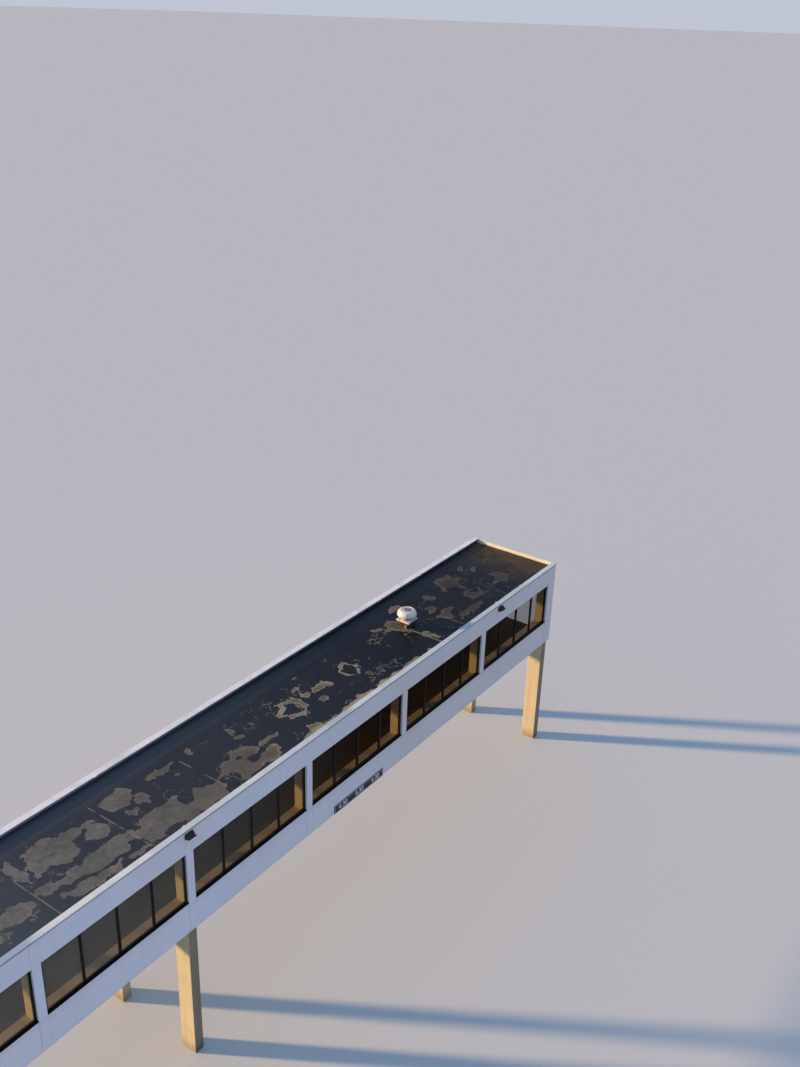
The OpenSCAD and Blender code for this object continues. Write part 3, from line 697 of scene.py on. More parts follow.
# Each patch: middle along X and Y, reach along X and Y, and how thick the silt is
silt_patches = (
    (-13.0, -0.75, 0.8, 0.70, 0.9), (-11.9, 0.25, 0.8, 0.60, 0.9), (-11.5, -1.00, 0.9, 0.40, 0.9),
    (-10.2, 0.10, 0.7, 0.80, 0.9), (-9.9, -1.05, 0.5, 0.35, 0.8),
    (-8.9, -0.75, 0.65, 0.42, 1.0), (-8.1, 0.30, 0.24, 0.70, 0.9), (-8.0, -0.65, 0.45, 0.34, 0.9),
    (-7.2, 0.25, 0.85, 0.75, 1.2), (-6.3, 0.45, 0.75, 0.24, 0.9), (-6.0, 0.02, 0.42, 0.40, 1.0),
    (-6.6, -0.75, 1.45, 0.38, 1.4), (-7.1, -1.28, 1.2, 0.28, 1.0), (-5.9, -1.32, 0.5, 0.16, 0.8),
    (-4.9, 0.52, 0.65, 0.42, 1.0), (-4.45, 0.10, 0.36, 0.40, 1.0), (-5.0, -0.15, 0.22, 0.20, 0.9),
    (-3.45, 0.55, 0.60, 0.20, 0.9), (-4.5, -0.95, 1.25, 0.62, 1.9), (-3.5, -1.10, 0.95, 0.52, 1.6),
    (-1.95, -0.95, 0.95, 0.60, 1.8), (-1.50, -0.62, 0.55, 0.45, 1.2), (-1.15, -1.15, 0.60, 0.40, 1.2),
    (-0.55, -0.66, 0.62, 0.16, 1.2),
    (-2.35, 0.65, 0.26, 0.28, 0.7), (-1.05, 0.40, 0.22, 0.24, 0.6), (-1.0, -0.02, 0.26, 0.16, 0.6),
    (0.95, -0.25, 0.66, 0.58, 1.3), (1.72, 0.33, 0.34, 0.14, 0.9), (1.72, -0.08, 0.28, 0.20, 0.9),
    (2.37, -0.27, 0.52, 0.46, 1.1), (1.95, -0.60, 0.32, 0.20, 0.9), (3.65, -0.22, 0.48, 0.50, 1.1),
    (6.05, 0.55, 0.30, 0.22, 0.7), (6.35, 0.35, 0.26, 0.20, 0.7), (6.75, 0.10, 0.50, 0.75, 0.9),
    (7.6, 0.90, 0.50, 0.24, 0.7), (8.35, -0.05, 0.30, 0.26, 0.8), (8.6, -0.62, 0.75, 0.36, 1.0),
    (9.3, -1.08, 1.0, 0.22, 0.9), (9.0, 0.50, 0.30, 0.32, 0.7), (10.3, 0.55, 0.80, 0.72, 1.0),
    (10.3, -0.50, 0.55, 0.42, 1.0), (11.8, -0.68, 0.75, 0.24, 1.0), (12.05, -0.30, 0.32, 0.36, 0.9),
    (11.5, 0.88, 0.28, 0.20, 0.7), (11.8, 0.50, 0.36, 0.26, 0.7), (12.7, 0.55, 0.30, 0.12, 0.7),
    (6.95, -0.90, 0.36, 0.55, 0.6), (0.67, -1.42, 0.28, 0.34, 1.2), (2.68, -1.46, 0.26, 0.26, 1.1),
    (4.40, -1.54, 0.66, 0.24, 1.3), (5.30, -1.54, 0.50, 0.24, 1.3),
)
# Places inside the patches that dried clean: middle, then reach
clean_patches = (
    (-6.4, 0.15, 0.34, 0.16), (-6.9, -0.55, 0.30, 0.14), (-7.4, -1.02, 0.60, 0.10), (-6.4, -1.08, 0.45, 0.10),
    (-3.82, -0.82, 0.16, 0.28), (-4.72, -1.36, 0.36, 0.20), (-3.05, -0.72, 0.32, 0.26),
    (-2.42, -1.02, 0.40, 0.26), (-1.80, -0.72, 0.24, 0.15), (-1.45, -0.98, 0.70, 0.17), (-0.40, -1.35, 0.40, 0.30),
    (0.92, -0.26, 0.40, 0.36), (2.28, -0.42, 0.38, 0.32), (3.66, -0.24, 0.30, 0.30), (1.72, -0.33, 0.30, 0.12),
    (8.85, -0.78, 0.46, 0.20), (9.3, -0.95, 0.60, 0.10), (10.45, -0.45, 0.22, 0.16), (10.75, 0.15, 0.30, 0.24),
    (10.0, 0.20, 0.26, 0.24), (7.3, -0.45, 0.50, 0.40),
)

# Rubber roof sheet: blue-black and dull by the terminal, greyed by sun further out, under a thin crust of silt
roof_rubber, shader, place = start_material("rubber_roof_sheet", {})
at_x, at_y, at_z = add("SeparateXYZ", (place,)).outputs
# The edges of the patches wander by some 100 mm
warp = add("TexNoise", {"Vector": place, "Scale": 2.4, "Detail": 2.0})
centred = add("VectorMath", (warp.outputs["Color"], (0.5, 0.5, 0.5)), operation="SUBTRACT")
push = add("VectorMath", {0: centred, "Scale": 0.55}, operation="SCALE")
warped = add("VectorMath", (place, push), operation="ADD")
fields = []
for patches, joining in ((silt_patches, "SMOOTH_MAX"), ([p + (1.6,) for p in clean_patches], "MAXIMUM")):
    field = None
    for x, y, reach_x, reach_y, thickness in patches:
        around = add("Mapping", {"Vector": warped, "Location": (x, y, roof_z), "Scale": (reach_x, reach_y, 9.0)},
                     vector_type="TEXTURE")
        ball = add("TexGradient", (around,), gradient_type="SPHERICAL")
        blob = add("Math", (ball.outputs["Fac"], thickness), operation="MULTIPLY")
        field = blob if field is None else add("Math", (field, blob, 0.06), operation=joining)
    fields.append(field)
silt_field = add("Math", (fields[0], fields[1]), operation="SUBTRACT")
edge_noise = add("TexNoise", {"Vector": place, "Scale": 3.4, "Detail": 6.0, "Roughness": 0.66})
rough_field = add("Math", (edge_noise, 1.15, silt_field), operation="MULTIPLY_ADD")
silt = add("MapRange", (rough_field, 0.83, 0.91), interpolation_type="SMOOTHSTEP")
rim_end = add("MapRange", (at_x, -1.8, -0.4, 0.97, 1.15))
rim = add("MapRange", (rough_field, 0.9, rim_end, 1.0, 0.25))
# A ragged crust lies along the low front side, thickest over the middle bays, and along the terminal end
crust_noise = add("TexNoise", {"Vector": place, "Scale": 2.6, "Detail": 6.0, "Roughness": 0.66})
near_edge = add("MapRange", (at_y, inside_y + 0.03, inside_y + 0.36, 0.58, 0.0))
near_end = add("MapRange", (at_x, roof_end - 0.55, roof_end - 0.1, 0, 0.42))
crust_reach = add("MapRange", (at_x, 5.2, 6.6, 0.0, -0.16))
crust_start = add("MapRange", (at_x, -1.0, 0.4, -0.3, 0.0))
edge_field = add("Math", (near_edge, near_end), operation="MAXIMUM")
for part in (crust_noise, crust_reach, crust_start):
    edge_field = add("Math", (edge_field, part), operation="ADD")
edge_crust = add("MapRange", (edge_field, 0.745, 0.8), interpolation_type="SMOOTHSTEP")
# Silt also lies along the outer edge of each lap seam, broken in places, and round the apron of the fan
seam_wave = add("Math", (at_x, seam_half_width - roof_low.x - seam_first), operation="ADD")
seam_cell = add("Math", (seam_wave, seam_pitch / 2), operation="PINGPONG")
seam_line = add("Math", (seam_cell, seam_edge_width), operation="LESS_THAN")
seam_place = add("Mapping", {"Vector": place, "Scale": (0.4, 1.6, 1.0)})
seam_noise = add("TexNoise", {"Vector": seam_place, "Scale": 1.7, "Detail": 4.0})
seam_limit = add("MapRange", (at_y, 0.75, 1.05, 0, 0.25))
seam_field = add("Math", (seam_noise, seam_limit), operation="SUBTRACT")
seam_breaks = add("MapRange", (seam_field, 0.42, 0.5, 0, 0.7))
seam_silt = add("Math", (seam_line, seam_breaks), operation="MULTIPLY")
washed = add("Math", (at_x, 2.4, 3.4), operation="COMPARE")
seam_silt = add("Math", (seam_silt, washed), operation="SUBTRACT", use_clamp=True)
from_fan_x = add("Math", (at_x, fan_x), operation="SUBTRACT")
from_fan = [add("Math", (side,), operation="ABSOLUTE") for side in (from_fan_x, at_y)]
square_distance = add("Math", (from_fan[0], from_fan[1]), operation="MAXIMUM")
apron_line = add("Math", (square_distance, apron_size / 2, 0.016), operation="COMPARE")
apron_side = add("Math", (at_x, fan_x), operation="LESS_THAN")
apron_silt = add("Math", (apron_line, apron_side), operation="MULTIPLY")
# Thin drying lines wander between the patches
line_noise = add("TexNoise", {"Vector": place, "Scale": 2.6, "Detail": 3.0, "Roughness": 0.6})
line_near = add("Math", (line_noise, 0.5, 0.016), operation="COMPARE")
line_places = add("TexNoise", {"Vector": place, "Scale": 1.5, "Detail": 3.0})
line_mask = add("MapRange", (line_places, 0.54, 0.62, 0, 0.75))
line_side = add("Math", (at_y, 0.8), operation="LESS_THAN")
drying_lines = line_side
for part in (line_near, line_mask):
    drying_lines = add("Math", (drying_lines, part), operation="MULTIPLY")
# An older lap has left two straight marks: a pale one across beside the fan, and a dark one along the outer bays
old_lap = add("Math", (at_x, old_lap_x, 0.03), operation="COMPARE")
old_lap_side = add("Math", (at_y, -0.42), operation="LESS_THAN")
old_lap_silt = add("Math", (old_lap, old_lap_side), operation="MULTIPLY")
silt_all = silt
for part in (edge_crust, seam_silt, apron_silt, drying_lines, old_lap_silt):
    silt_all = add("Math", (silt_all, part), operation="MAXIMUM")
on_top = add("Math", (at_z, roof_z + 0.02), operation="LESS_THAN")
long_mark = add("Math", (at_y, long_mark_y, mark_half_width), operation="COMPARE")
long_mark_end = add("Math", (at_x, -5.65), operation="LESS_THAN")
long_gap = add("Math", (long_mark, long_mark_end), operation="MULTIPLY")
# The silt is thinner past the fan, and patchy everywhere
thin_share = add("MapRange", (at_x, 7.2, 8.8, 1.0, 0.45))
patchy = add("TexNoise", {"Vector": place, "Scale": 1.1, "Detail": 4.0, "Roughness": 0.6})
patchy_share = add("MapRange", (patchy, 0.35, 0.6, 0.62))
silt_share = add("Math", (silt_all, long_gap), operation="SUBTRACT", use_clamp=True)
for part in (on_top, thin_share, patchy_share):
    silt_share = add("Math", (silt_share, part), operation="MULTIPLY")
along = add("MapRange", (at_x, -12.0, 4.0))
far_share = add("MapRange", (at_x, -11.0, -7.0, 1.0, 0.0))
sheet_left = add("Mix", (far_share, sheet_outer, sheet_far))
fade = add("TexNoise", {"Vector": place, "Scale": 0.6, "Detail": 4.0})
fade_amount = add("MapRange", (at_x, -12.0, 9.0, 0.4, 0.02))
fade_noise = add("MapRange", (fade, 0.35, 0.75))
fade_share = add("Math", (fade_noise, fade_amount), operation="MULTIPLY")
sheet_base = add("Mix", (along, sheet_left, sheet_terminal))
sheet_tone = add("Mix", (fade_share, sheet_base, sheet_worn_and_painted_light))
# The sheet is painted paler along the high back side: painted light that takes out the shadow of the back parapet
# there. The turned-up edges are painted paler too: painted light on sheet in the shade of the coping
painted_light_strip = add("MapRange", (at_y, 0.85, 1.3, 0, 0.9), interpolation_type="SMOOTHSTEP")
painted_light_reach = add("MapRange", (at_x, -2.0, 5.0, 1.0, 0.3))
painted_light_share = add("Math", (painted_light_strip, painted_light_reach), operation="MULTIPLY")
painted_light_tone = add("Mix", (painted_light_share, sheet_tone, sheet_worn_and_painted_light))
upturn_painted_light = add("Mix", (along, upturn_painted_light_outer, upturn_painted_light_terminal))
inner_part = add("Math", (from_fan[1], 1.2), operation="LESS_THAN")
flat_part = add("Math", (on_top, inner_part), operation="MAXIMUM")
bare_tone = add("Mix", (flat_part, upturn_painted_light, painted_light_tone))
end_share = add("MapRange", (at_x, roof_end - 2.6, roof_end), interpolation_type="SMOOTHSTEP")
stain_noise = add("TexNoise", {"Vector": place, "Scale": 1.8, "Detail": 6.0, "Roughness": 0.65})
stain_share = add("MapRange", (stain_noise, 0.36, 0.6, 0.45, 0.95))
end_stain = add("Math", (end_share, stain_share), operation="MULTIPLY")
stained = add("Mix", (end_stain, bare_tone, silt_rust))
silt_grain = add("TexNoise", {"Vector": place, "Scale": 6.0, "Detail": 5.0, "Roughness": 0.65})
grain_share = add("MapRange", (silt_grain, 0.3, 0.7))
silt_along = add("MapRange", (at_x, -6.5, -1.0))
silt_ends = add("Mix", (silt_along, silt_grey, silt_brown))
silt_body = add("Mix", (grain_share, silt_brown, silt_ends))
# The rings of the middle bays have broad pale rims, the wide patches thin and faint ones
rim_from = add("MapRange", (at_x, -1.8, -0.4, 0.35, 0.9))
rim_to = add("MapRange", (at_x, 4.2, 5.6, 1.0, 0.6))
rim_share = rim
for part in (rim_from, rim_to):
    rim_share = add("Math", (rim_share, part), operation="MULTIPLY")
low_side = add("MapRange", (at_y, inside_y + 0.2, inside_y + 0.45, 1.0, 0.0))
low_side_reach = add("MapRange", (at_x, -1.8, -0.4, 0.08, 0.9))
low_side_share = add("Math", (low_side, low_side_reach), operation="MULTIPLY")
seam_pale = add("Math", (seam_silt, 0.7), operation="MULTIPLY")
pale_share = add("Math", (rim_share, low_side_share), operation="MAXIMUM")
pale_share = add("Math", (pale_share, seam_pale), operation="MAXIMUM")
silt_tone = add("Mix", (pale_share, silt_body, silt_tan))
tone = add("Mix", (silt_share, stained, silt_tone))
dull = add("MapRange", (silt_share, 0, 1, 0.42, 0.92))
# Grey dust in the sheet takes the sky's sheen more on the outer bays
sheen = add("MapRange", (at_x, -12.0, 5.0, 0.6, 0.15))
bare_share = add("MapRange", (silt_share, 0, 1, 1.0, 0.15))
end_sheen = add("MapRange", (end_share, 0, 1, 1.0, 0.1))
sheen_share = sheen
for part in (bare_share, end_sheen):
    sheen_share = add("Math", (sheen_share, part), operation="MULTIPLY")
wrinkle = add("TexNoise", {"Vector": place, "Scale": 5.0, "Detail": 4.0})
thick = add("Math", (silt_share, 0.4, wrinkle), operation="MULTIPLY_ADD")
relief = add("Bump", {"Height": thick, "Strength": 0.35, "Distance": 0.006})
feed(shader, {"Base Color": tone, "Roughness": dull, "Specular IOR Level": sheen_share, "Normal": relief})
dress(roof_rubber, "roof_membrane", "front_roof_upstand", "back_roof_upstand")

# Termination bars: flat aluminium bars that hold the top of the turned-up sheet, screwed every 300 mm
bar_height, bar_depth, bar_edge = 0.028, 0.004, 0.002
bar_middle = roof_z + 0.085 - bar_height / 2
bar_screw_pitch, bar_screw_radius, screw_depth = 0.305, 0.006, 0.003
upstand_length = upstand_high.x - upstand_low.x
bar = block((upstand_length - 0.2, bar_depth, bar_height), (0, inside_y + bar_depth / 2, bar_middle))
pick(bar, "edges", lambda e: all(v.co.y > inside_y + bar_depth / 2 for v in e.verts) and span(e, 0) > bar_height)
bpy.ops.mesh.bevel(offset=bar_edge, segments=1)
settle(bar, "bar")
screw_count = int((upstand_length - 0.4) / bar_screw_pitch)
screw_place = (-(screw_count - 1) * bar_screw_pitch / 2, inside_y + bar_depth + screw_depth / 2, bar_middle)
screw = head("screw", 8, bar_screw_radius, screw_depth, screw_place, turn_inward, bar_screw_radius * 0.35,
             dish=(0, 0.001, 0))
screws = copies(screw, [shift(k * bar_screw_pitch) for k in range(screw_count)])

# Mill-finish aluminium: pale grey, gone dull outdoors
mill_aluminium, shader, place = start_material("mill_finish_aluminium", {"Metallic": 0.4})
cloud = add("TexNoise", {"Vector": place, "Scale": 8.0, "Detail": 5.0})
tone = add("Mix", (cloud, "8f9499", "b9bdc1"))
dull = add("MapRange", (cloud, 0, 1, 0.42, 0.6))
feed(shader, {"Base Color": tone, "Roughness": dull})
both_sides("termination_bar", [bar] + screws, mill_aluminium, "roof_sheet")


# A folded angle of cream coated steel closes each end of the roof. Its foot is bedded on the sheet and its upright
# leg stands level with the parapets.

# Cream coil coating: slightly glossy and chalked by the sun
cream_coating = mottled("cream_coated_steel", {"Roughness": 0.5}, (4.0, 6.0, 0.65), ("b1b194", "d2daca"),
                        relief=(0.15, 0.002))
dress(cream_coating, "roof_end_flashings")


# A folded metal coping in nine lengths caps each parapet, over the turned-up roof sheet. It falls towards the roof,
# has a short hem at both edges, and a cover plate over each joint. The front one is coloured in several tints along
# its length.
coping_low, coping_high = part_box("front_coping")
coping_count, coping_gap = 9, 0.004
coping_length = (coping_high.x - coping_low.x - (coping_count - 1) * coping_gap) / coping_count
coping_pale, coping_blue, coping_white = "cbd6d2", "8ba3b1", "f3efe4"
# Along X: where each tint ends, and how blue it is
coping_tints = ((-9.2, 0.95), (-5.75, 0.05), (-3.1, 0.42), (-1.2, 0.25), (0.8, 0.45), (1.8, 0.80), (3.3, 0.27),
                (6.8, 0.42), (11.8, 0.60), (15.0, 0.35))
cover_width, cover_proud, coping_screw_pitch = 0.115, 0.0016, 0.61

# Coated coping sheet: smooth off-white, white on the back, bluer in stretches on the front, with thin cloudy dirt
coping_sheet, shader, place = start_material("coated_coping_sheet", {"Roughness": 0.42})
at_x, at_y, at_z = add("SeparateXYZ", (place,)).outputs
tint_all = None
for (end, share), (_, after) in zip(coping_tints, coping_tints[1:] + ((0, 0.0),)):
    step = add("MapRange", (at_x, end - 0.15, end + 0.15, share - after, 0.0))
    tint_all = step if tint_all is None else add("Math", (tint_all, step), operation="ADD")
worn = add("TexNoise", {"Vector": place, "Scale": 2.2, "Detail": 6.0, "Roughness": 0.65})
dirt = add("MapRange", (worn, 0.45, 0.75, 0, 0.4))
back_side = add("Math", (at_y, 0.0), operation="GREATER_THAN")
front_tint = add("Mix", (tint_all, coping_pale, coping_blue))
tint = add("Mix", (back_side, front_tint, coping_white))
tone = add("Mix", (dirt, tint, "8c9190"))
relief = add("Bump", {"Height": worn, "Strength": 0.2, "Distance": 0.004})
feed(shader, {"Base Color": tone, "Normal": relief})
dress(coping_sheet, "front_coping", "back_coping")


def thicken(piece, thickness, side):
    """Gives a settled sheet its thickness, in front of its faces (1) or behind them (-1)."""
    solid = piece.modifiers.new("sheet", "SOLIDIFY")
    solid.thickness, solid.offset = thickness, side
    bpy.ops.object.modifier_apply(modifier="sheet")
    return piece


# Joint covers: each is folded like the coping, from a flat strip whose edges are drawn down as legs
coping_fall = 0.012
outer_edge, inner_edge = coping_low.y, coping_high.y
hem_height = coping_high.z - coping_low.z
first_joint = coping_low.x + coping_length + coping_gap / 2
cover = sheet(cover_width, inner_edge - outer_edge + 2 * cover_proud,
              (first_joint, (outer_edge + inner_edge) / 2, coping_high.z + cover_proud))
pick(cover, "edges", lambda e: all(v.co.y > 0.5 * (outer_edge + inner_edge) for v in e.verts))
bpy.ops.transform.translate(value=(0, 0, -coping_fall))
stretch((0, 0, coping_fall - hem_height))
pick(cover, "edges", lambda e: all(v.co.y < outer_edge for v in e.verts))
stretch((0, 0, -hem_height))
thicken(settle(cover, "cover"), cover_proud, -1)
covers = copies(cover, [shift(k * (coping_length + coping_gap)) for k in range(coping_count - 1)])
both_sides("coping_covers", covers, coping_sheet, "coping_metal")

# Coping screws with washers, along the inner hem
inner_hem_middle = (coping_low.z + coping_high.z - coping_fall) / 2
coping_screw_count = int((coping_high.x - coping_low.x - 0.3) / coping_screw_pitch) + 1
screw_place = (coping_low.x + 0.25, inner_edge + screw_depth / 2, inner_hem_middle)
screw = head("screw", 10, 0.0065, screw_depth, screw_place, turn_inward, 0.0025, rise=(0, 0.003, 0))
screws = copies(screw, [shift(k * coping_screw_pitch) for k in range(coping_screw_count)])
both_sides("coping_screws", screws, galvanised_steel, "coping_metal")


# A spun aluminium mushroom fan stands on a curb wrapped in roof sheet. The dome is carried on four bracket legs
# over the inlet ring of a folded base, with a wire screen in the gap against birds.
fan_cream, fan_shade = "dcddd2", "c5c5bb"
cap_grey, cap_dirt = "8d8982", "5c5955"
curb_black, curb_rust = "211a17", "442c20"
inlet_height = 0.070
screen_radius, screen_wire, screen_rows = 0.218, 0.003, 9
skirt_bolt_radius, dome_bolt_radius, bolt_depth, bolt_end = 0.008, 0.007, 0.008, 0.003
bolt_spread, dome_bolt_circle = 0.12, 0.168
dome_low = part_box("fan_dome")[0]
base_low, base_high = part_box("fan_base")

# Cream coating on spun aluminium: satin, with faint spinning rings and dust on the flat parts
spun_aluminium, shader, place = start_material("coated_spun_aluminium", {"Roughness": 0.38, "Metallic": 0.15})
at_x, at_y, at_z = add("SeparateXYZ", (place,)).outputs
spin_rings = add("Math", (at_z, 420.0), operation="MULTIPLY")
ring_wave = add("Math", (spin_rings,), operation="SINE")
blotch = add("TexNoise", {"Vector": place, "Scale": 7.0, "Detail": 5.0, "Roughness": 0.6})
blotch_share = add("MapRange", (blotch, 0.38, 0.72))
tone = add("Mix", (blotch_share, fan_cream, fan_shade))
relief = add("Bump", {"Height": ring_wave, "Strength": 0.1, "Distance": 0.0006})
feed(shader, {"Base Color": tone, "Normal": relief})
dress(spun_aluminium, "fan_base", "fan_dome")

# The cap has gone greyer than the dome, with dirt held in its ring
cap_metal = mottled("weathered_cap_metal", {"Roughness": 0.5, "Metallic": 0.15}, (14.0, 6.0, 0.7),
                    (cap_grey, cap_dirt), spread=(0.35, 0.65))
dress(cap_metal, "fan_cap")
dress(galvanised_steel, "fan_motor_bracket")

# Curb flashing: the sheet wrapped round the curb, browned by rust water from the fan
curb_sheet = mottled("curb_rubber_flashing", {"Roughness": 0.75}, (6.0, 6.0, 0.65), (curb_black, curb_rust),
                     spread=(0.38, 0.62), relief=(0.4, 0.006))
dress(curb_sheet, "fan_curb")

# Bird screen: a drum of galvanised wire between the base and the dome, made from a grid of bars
screen_low, screen_high = base_high.z - inlet_height, dome_low.z + 0.035
screen_height = screen_high - screen_low
screen = drum(72, screen_radius, screen_height, (fan_x, 0, (screen_low + screen_high) / 2), ends="NOTHING")
for step in range(1, screen_rows):
    bpy.ops.mesh.select_all(action="SELECT")
    bpy.ops.mesh.bisect(plane_co=(0, 0, screen_low + screen_height * step / screen_rows), plane_no=(0, 0, 1))
settle(screen, "fan_bird_screen")
wires = screen.modifiers.new("wires", "WIREFRAME")
wires.thickness = screen_wire
bpy.ops.object.modifier_apply(modifier="wires")
fix(screen, galvanised_steel)


def spin(angle):
    """A turn about the axis of the fan, in degrees."""
    return shift(fan_x) @ Matrix.Rotation(math.radians(angle), 4, "Z") @ shift(-fan_x)


# Bolts of the fan: through the skirt of the base, and on the flat top of the dome round the cap
skirt_place = (base_low.x, -bolt_spread, (base_low.z + base_high.z - inlet_height) / 2)
skirt_bolt = head("bolt", 6, skirt_bolt_radius, bolt_depth, skirt_place, turn_left, skirt_bolt_radius * 0.3,
                  rise=(-bolt_end, 0, 0))
bolts = copies(skirt_bolt, [spin(angle) @ shift(0, y) for y in (0, 2 * bolt_spread) for angle in (0, 90, 180, 270)])
dome_bolt_place = (fan_x + dome_bolt_circle, 0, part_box("fan_cap")[0].z + 0.003)
dome_bolt = head("bolt", 6, dome_bolt_radius, bolt_depth, dome_bolt_place, no_turn, dome_bolt_radius * 0.3,
                 rise=(0, 0, bolt_end))
bolts += copies(dome_bolt, [spin(angle) for angle in range(15, 375, 60)])
fix(join("fan_bolts", bolts), galvanised_steel)

# Apron of roof sheet round the curb, glued flat with a bead of lap sealant at its edge
apron_depth, apron_rise, apron_fold = 0.004, 0.045, 0.03
apron = sheet(apron_size, apron_size, (fan_x, 0, roof_z + 0.0005))
pick(apron, "faces", lambda f: True)
bpy.ops.mesh.inset(thickness=(apron_size - (fan_high.x - fan_low.x)) / 2 - apron_fold)
bpy.ops.mesh.inset(thickness=apron_fold)
bpy.ops.transform.translate(value=(0, 0, apron_rise))
pick(apron, "verts", lambda v: len(v.link_edges) == 3 and v.co.z < roof_z + 0.01)
bpy.ops.mesh.bevel(offset=0.03, affect="VERTICES", segments=3)
fix(thicken(settle(apron, "fan_apron"), apron_depth, 1), roof_rubber)

# Switch box of the fan: a small cast box with a screwed lid, on the outer face of the curb
box_size, box_edge, lid_lip, lid_depth = Vector((0.050, 0.080, 0.100)), 0.008, 0.006, 0.004
switch_box = block(box_size, (fan_low.x - box_size.x / 2, -0.135, roof_z + 0.095))
pick(switch_box, "edges", lambda e: all(v.co.x < fan_low.x - box_size.x / 2 for v in e.verts))
bpy.ops.mesh.bevel(offset=box_edge, segments=3)
pick(switch_box, "faces", lambda f: f.normal.x < -0.99)
bpy.ops.mesh.inset(thickness=lid_lip)
stretch((-lid_depth, 0, 0))
fix(settle(switch_box, "fan_switch_box", smooth=30), cap_metal)


# Cast aluminium wall packs, painted dark bronze, hang just below the coping and throw their light down. Each has a
# back plate, a lens in a frame under it, fins across its sloping top, and a photocell with a white cap.
casting_dark, casting_dust = "382c23", "5e5347"
lens_shade, lens_pale = "c9c8c0", "eceae0"
plastic_shade, plastic_white = "d9d8d0", "f2f1ec"
light_width, prism_width = 0.250, 0.006
lens_depth, lens_edge, lens_proud = 0.012, 0.003, 0.002
lens_frame_depth, lens_frame_bar = 0.008, 0.006
back_plate_depth, back_plate_margin, back_plate_corner = 0.008, 0.012, 0.02
fin_width, fin_height, fin_edge = 0.006, 0.014, 0.0015
fin_places = (-0.10, -0.055, -0.01, 0.035, 0.068)
cell_radius, cell_depth, cell_edge, cell_from_end = 0.014, 0.022, 0.005, 0.028
clip_size, clip_edge = Vector((0.075, 0.022, 0.030)), 0.005
light_low, light_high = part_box("front_wall_lights")
light_moves = [shift(), shift(light_high.x - light_low.x - light_width)]

# Bronze paint on castings: slightly pebbled, dull, with pale dust on top
cast_bronze = mottled("bronze_paint_on_casting", {"Roughness": 0.6, "Specular IOR Level": 0.25}, (12.0, 5.0),
                      (casting_dark, casting_dust), spread=(0.45, 0.75, 0, 0.5), relief=(0.35, 0.0008, 220.0))
dress(cast_bronze, "front_wall_lights", "back_wall_lights")

# Pressed glass lens: pale, with prisms across it
lens_glass, shader, place = start_material("pressed_glass_lens", {"IOR": 1.5, "Roughness": 0.18})
at_x, at_y, at_z = add("SeparateXYZ", (place,)).outputs
prism_wave = add("Math", (at_x, prism_width), operation="PINGPONG")
yellowed = add("TexNoise", {"Vector": place, "Scale": 20.0, "Detail": 3.0})
tone = add("Mix", (yellowed, lens_shade, lens_pale))
relief = add("Bump", {"Height": prism_wave, "Strength": 0.6, "Distance": 0.006})
feed(shader, {"Base Color": tone, "Normal": relief})

# The light's outline in section, from the middle of its top edge at the wall: along the sloping top, down the nose,
# and back under the lens
light_out, light_height = face_y - light_low.y, light_high.z - light_low.z
brow = Vector((0, -0.3 * light_out, -0.08 * light_height))
nose = Vector((0, -light_out, -0.5 * light_height))
chin = Vector((0, -light_out, -0.75 * light_height))
heel = Vector((0, -0.2 * light_out, -light_height))
top_point = Vector((light_low.x + light_width / 2, face_y, light_high.z))
lens_middle = top_point + (chin + heel) / 2
top_slope, under_slope = nose - brow, heel - chin
top_lean, under_lean = (math.atan2(slope.y, -slope.z) for slope in (top_slope, under_slope))
under_normal = Vector((0, -math.cos(under_lean), -math.sin(under_lean)))
top_normal = Vector((0, top_slope.z, -top_slope.y)).normalized()

lens = block((light_width - 0.050, lens_depth, under_slope.length - 0.036), lens_middle + under_normal * lens_proud,
             under_lean)
bpy.ops.mesh.select_all(action="SELECT")
bpy.ops.mesh.bevel(offset=lens_edge, segments=2)
both_sides("light_lenses", copies(settle(lens, "lens", smooth=40), light_moves), lens_glass, "light_bronze")

# Lens frame, back plate and fins of the light
lens_frame = block((light_width - 0.020, lens_frame_depth, under_slope.length - 0.008), lens_middle, under_lean)
pick(lens_frame, "faces", lambda f: f.normal.dot(under_normal) > 0.9)
bpy.ops.mesh.inset(thickness=lens_frame_bar)
bpy.ops.transform.translate(value=-under_normal * lens_proud)
trim = [settle(lens_frame, "lens_frame")]
back_plate = block((light_width + 2 * back_plate_margin, back_plate_depth, light_height + 2 * back_plate_margin),
                   (top_point.x, face_y - back_plate_depth / 2, (light_low.z + light_high.z) / 2))
pick(back_plate, "edges", lambda e: span(e, 1) > back_plate_depth / 2)
bpy.ops.mesh.bevel(offset=back_plate_corner, segments=3)
trim.append(settle(back_plate, "back_plate"))
for x in fin_places:
    fin = block((fin_width, fin_height, top_slope.length * 0.78),
                top_point + (brow + nose) / 2 + Vector((x, 0, 0)), top_lean)
    bpy.ops.mesh.select_all(action="SELECT")
    bpy.ops.mesh.bevel(offset=fin_edge, segments=1)
    trim.append(settle(fin, "fin"))
both_sides("light_trim", copies(join("light_trim", trim), light_moves), cast_bronze, "light_bronze")

# White moulded plastic: satin, yellowed in places
white_plastic = mottled("white_moulded_plastic", {"Roughness": 0.4}, (30.0, 3.0), (plastic_shade, plastic_white))

# Photocell: a small white cap on the sloping top of each light, by its end
cell = drum(16, cell_radius, cell_depth, top_point + brow + top_slope * 0.72 + top_normal * 0.006
            + Vector((light_width / 2 - cell_from_end, 0, 0)), (math.atan2(-top_normal.y, top_normal.z), 0, 0))
pick(cell, "edges", lambda e: all(v.co.z > 0 for v in e.verts))
bpy.ops.mesh.bevel(offset=cell_edge, segments=3)
both_sides("light_photocells", copies(settle(cell, "cell", smooth=40), light_moves), white_plastic, "light_bronze")

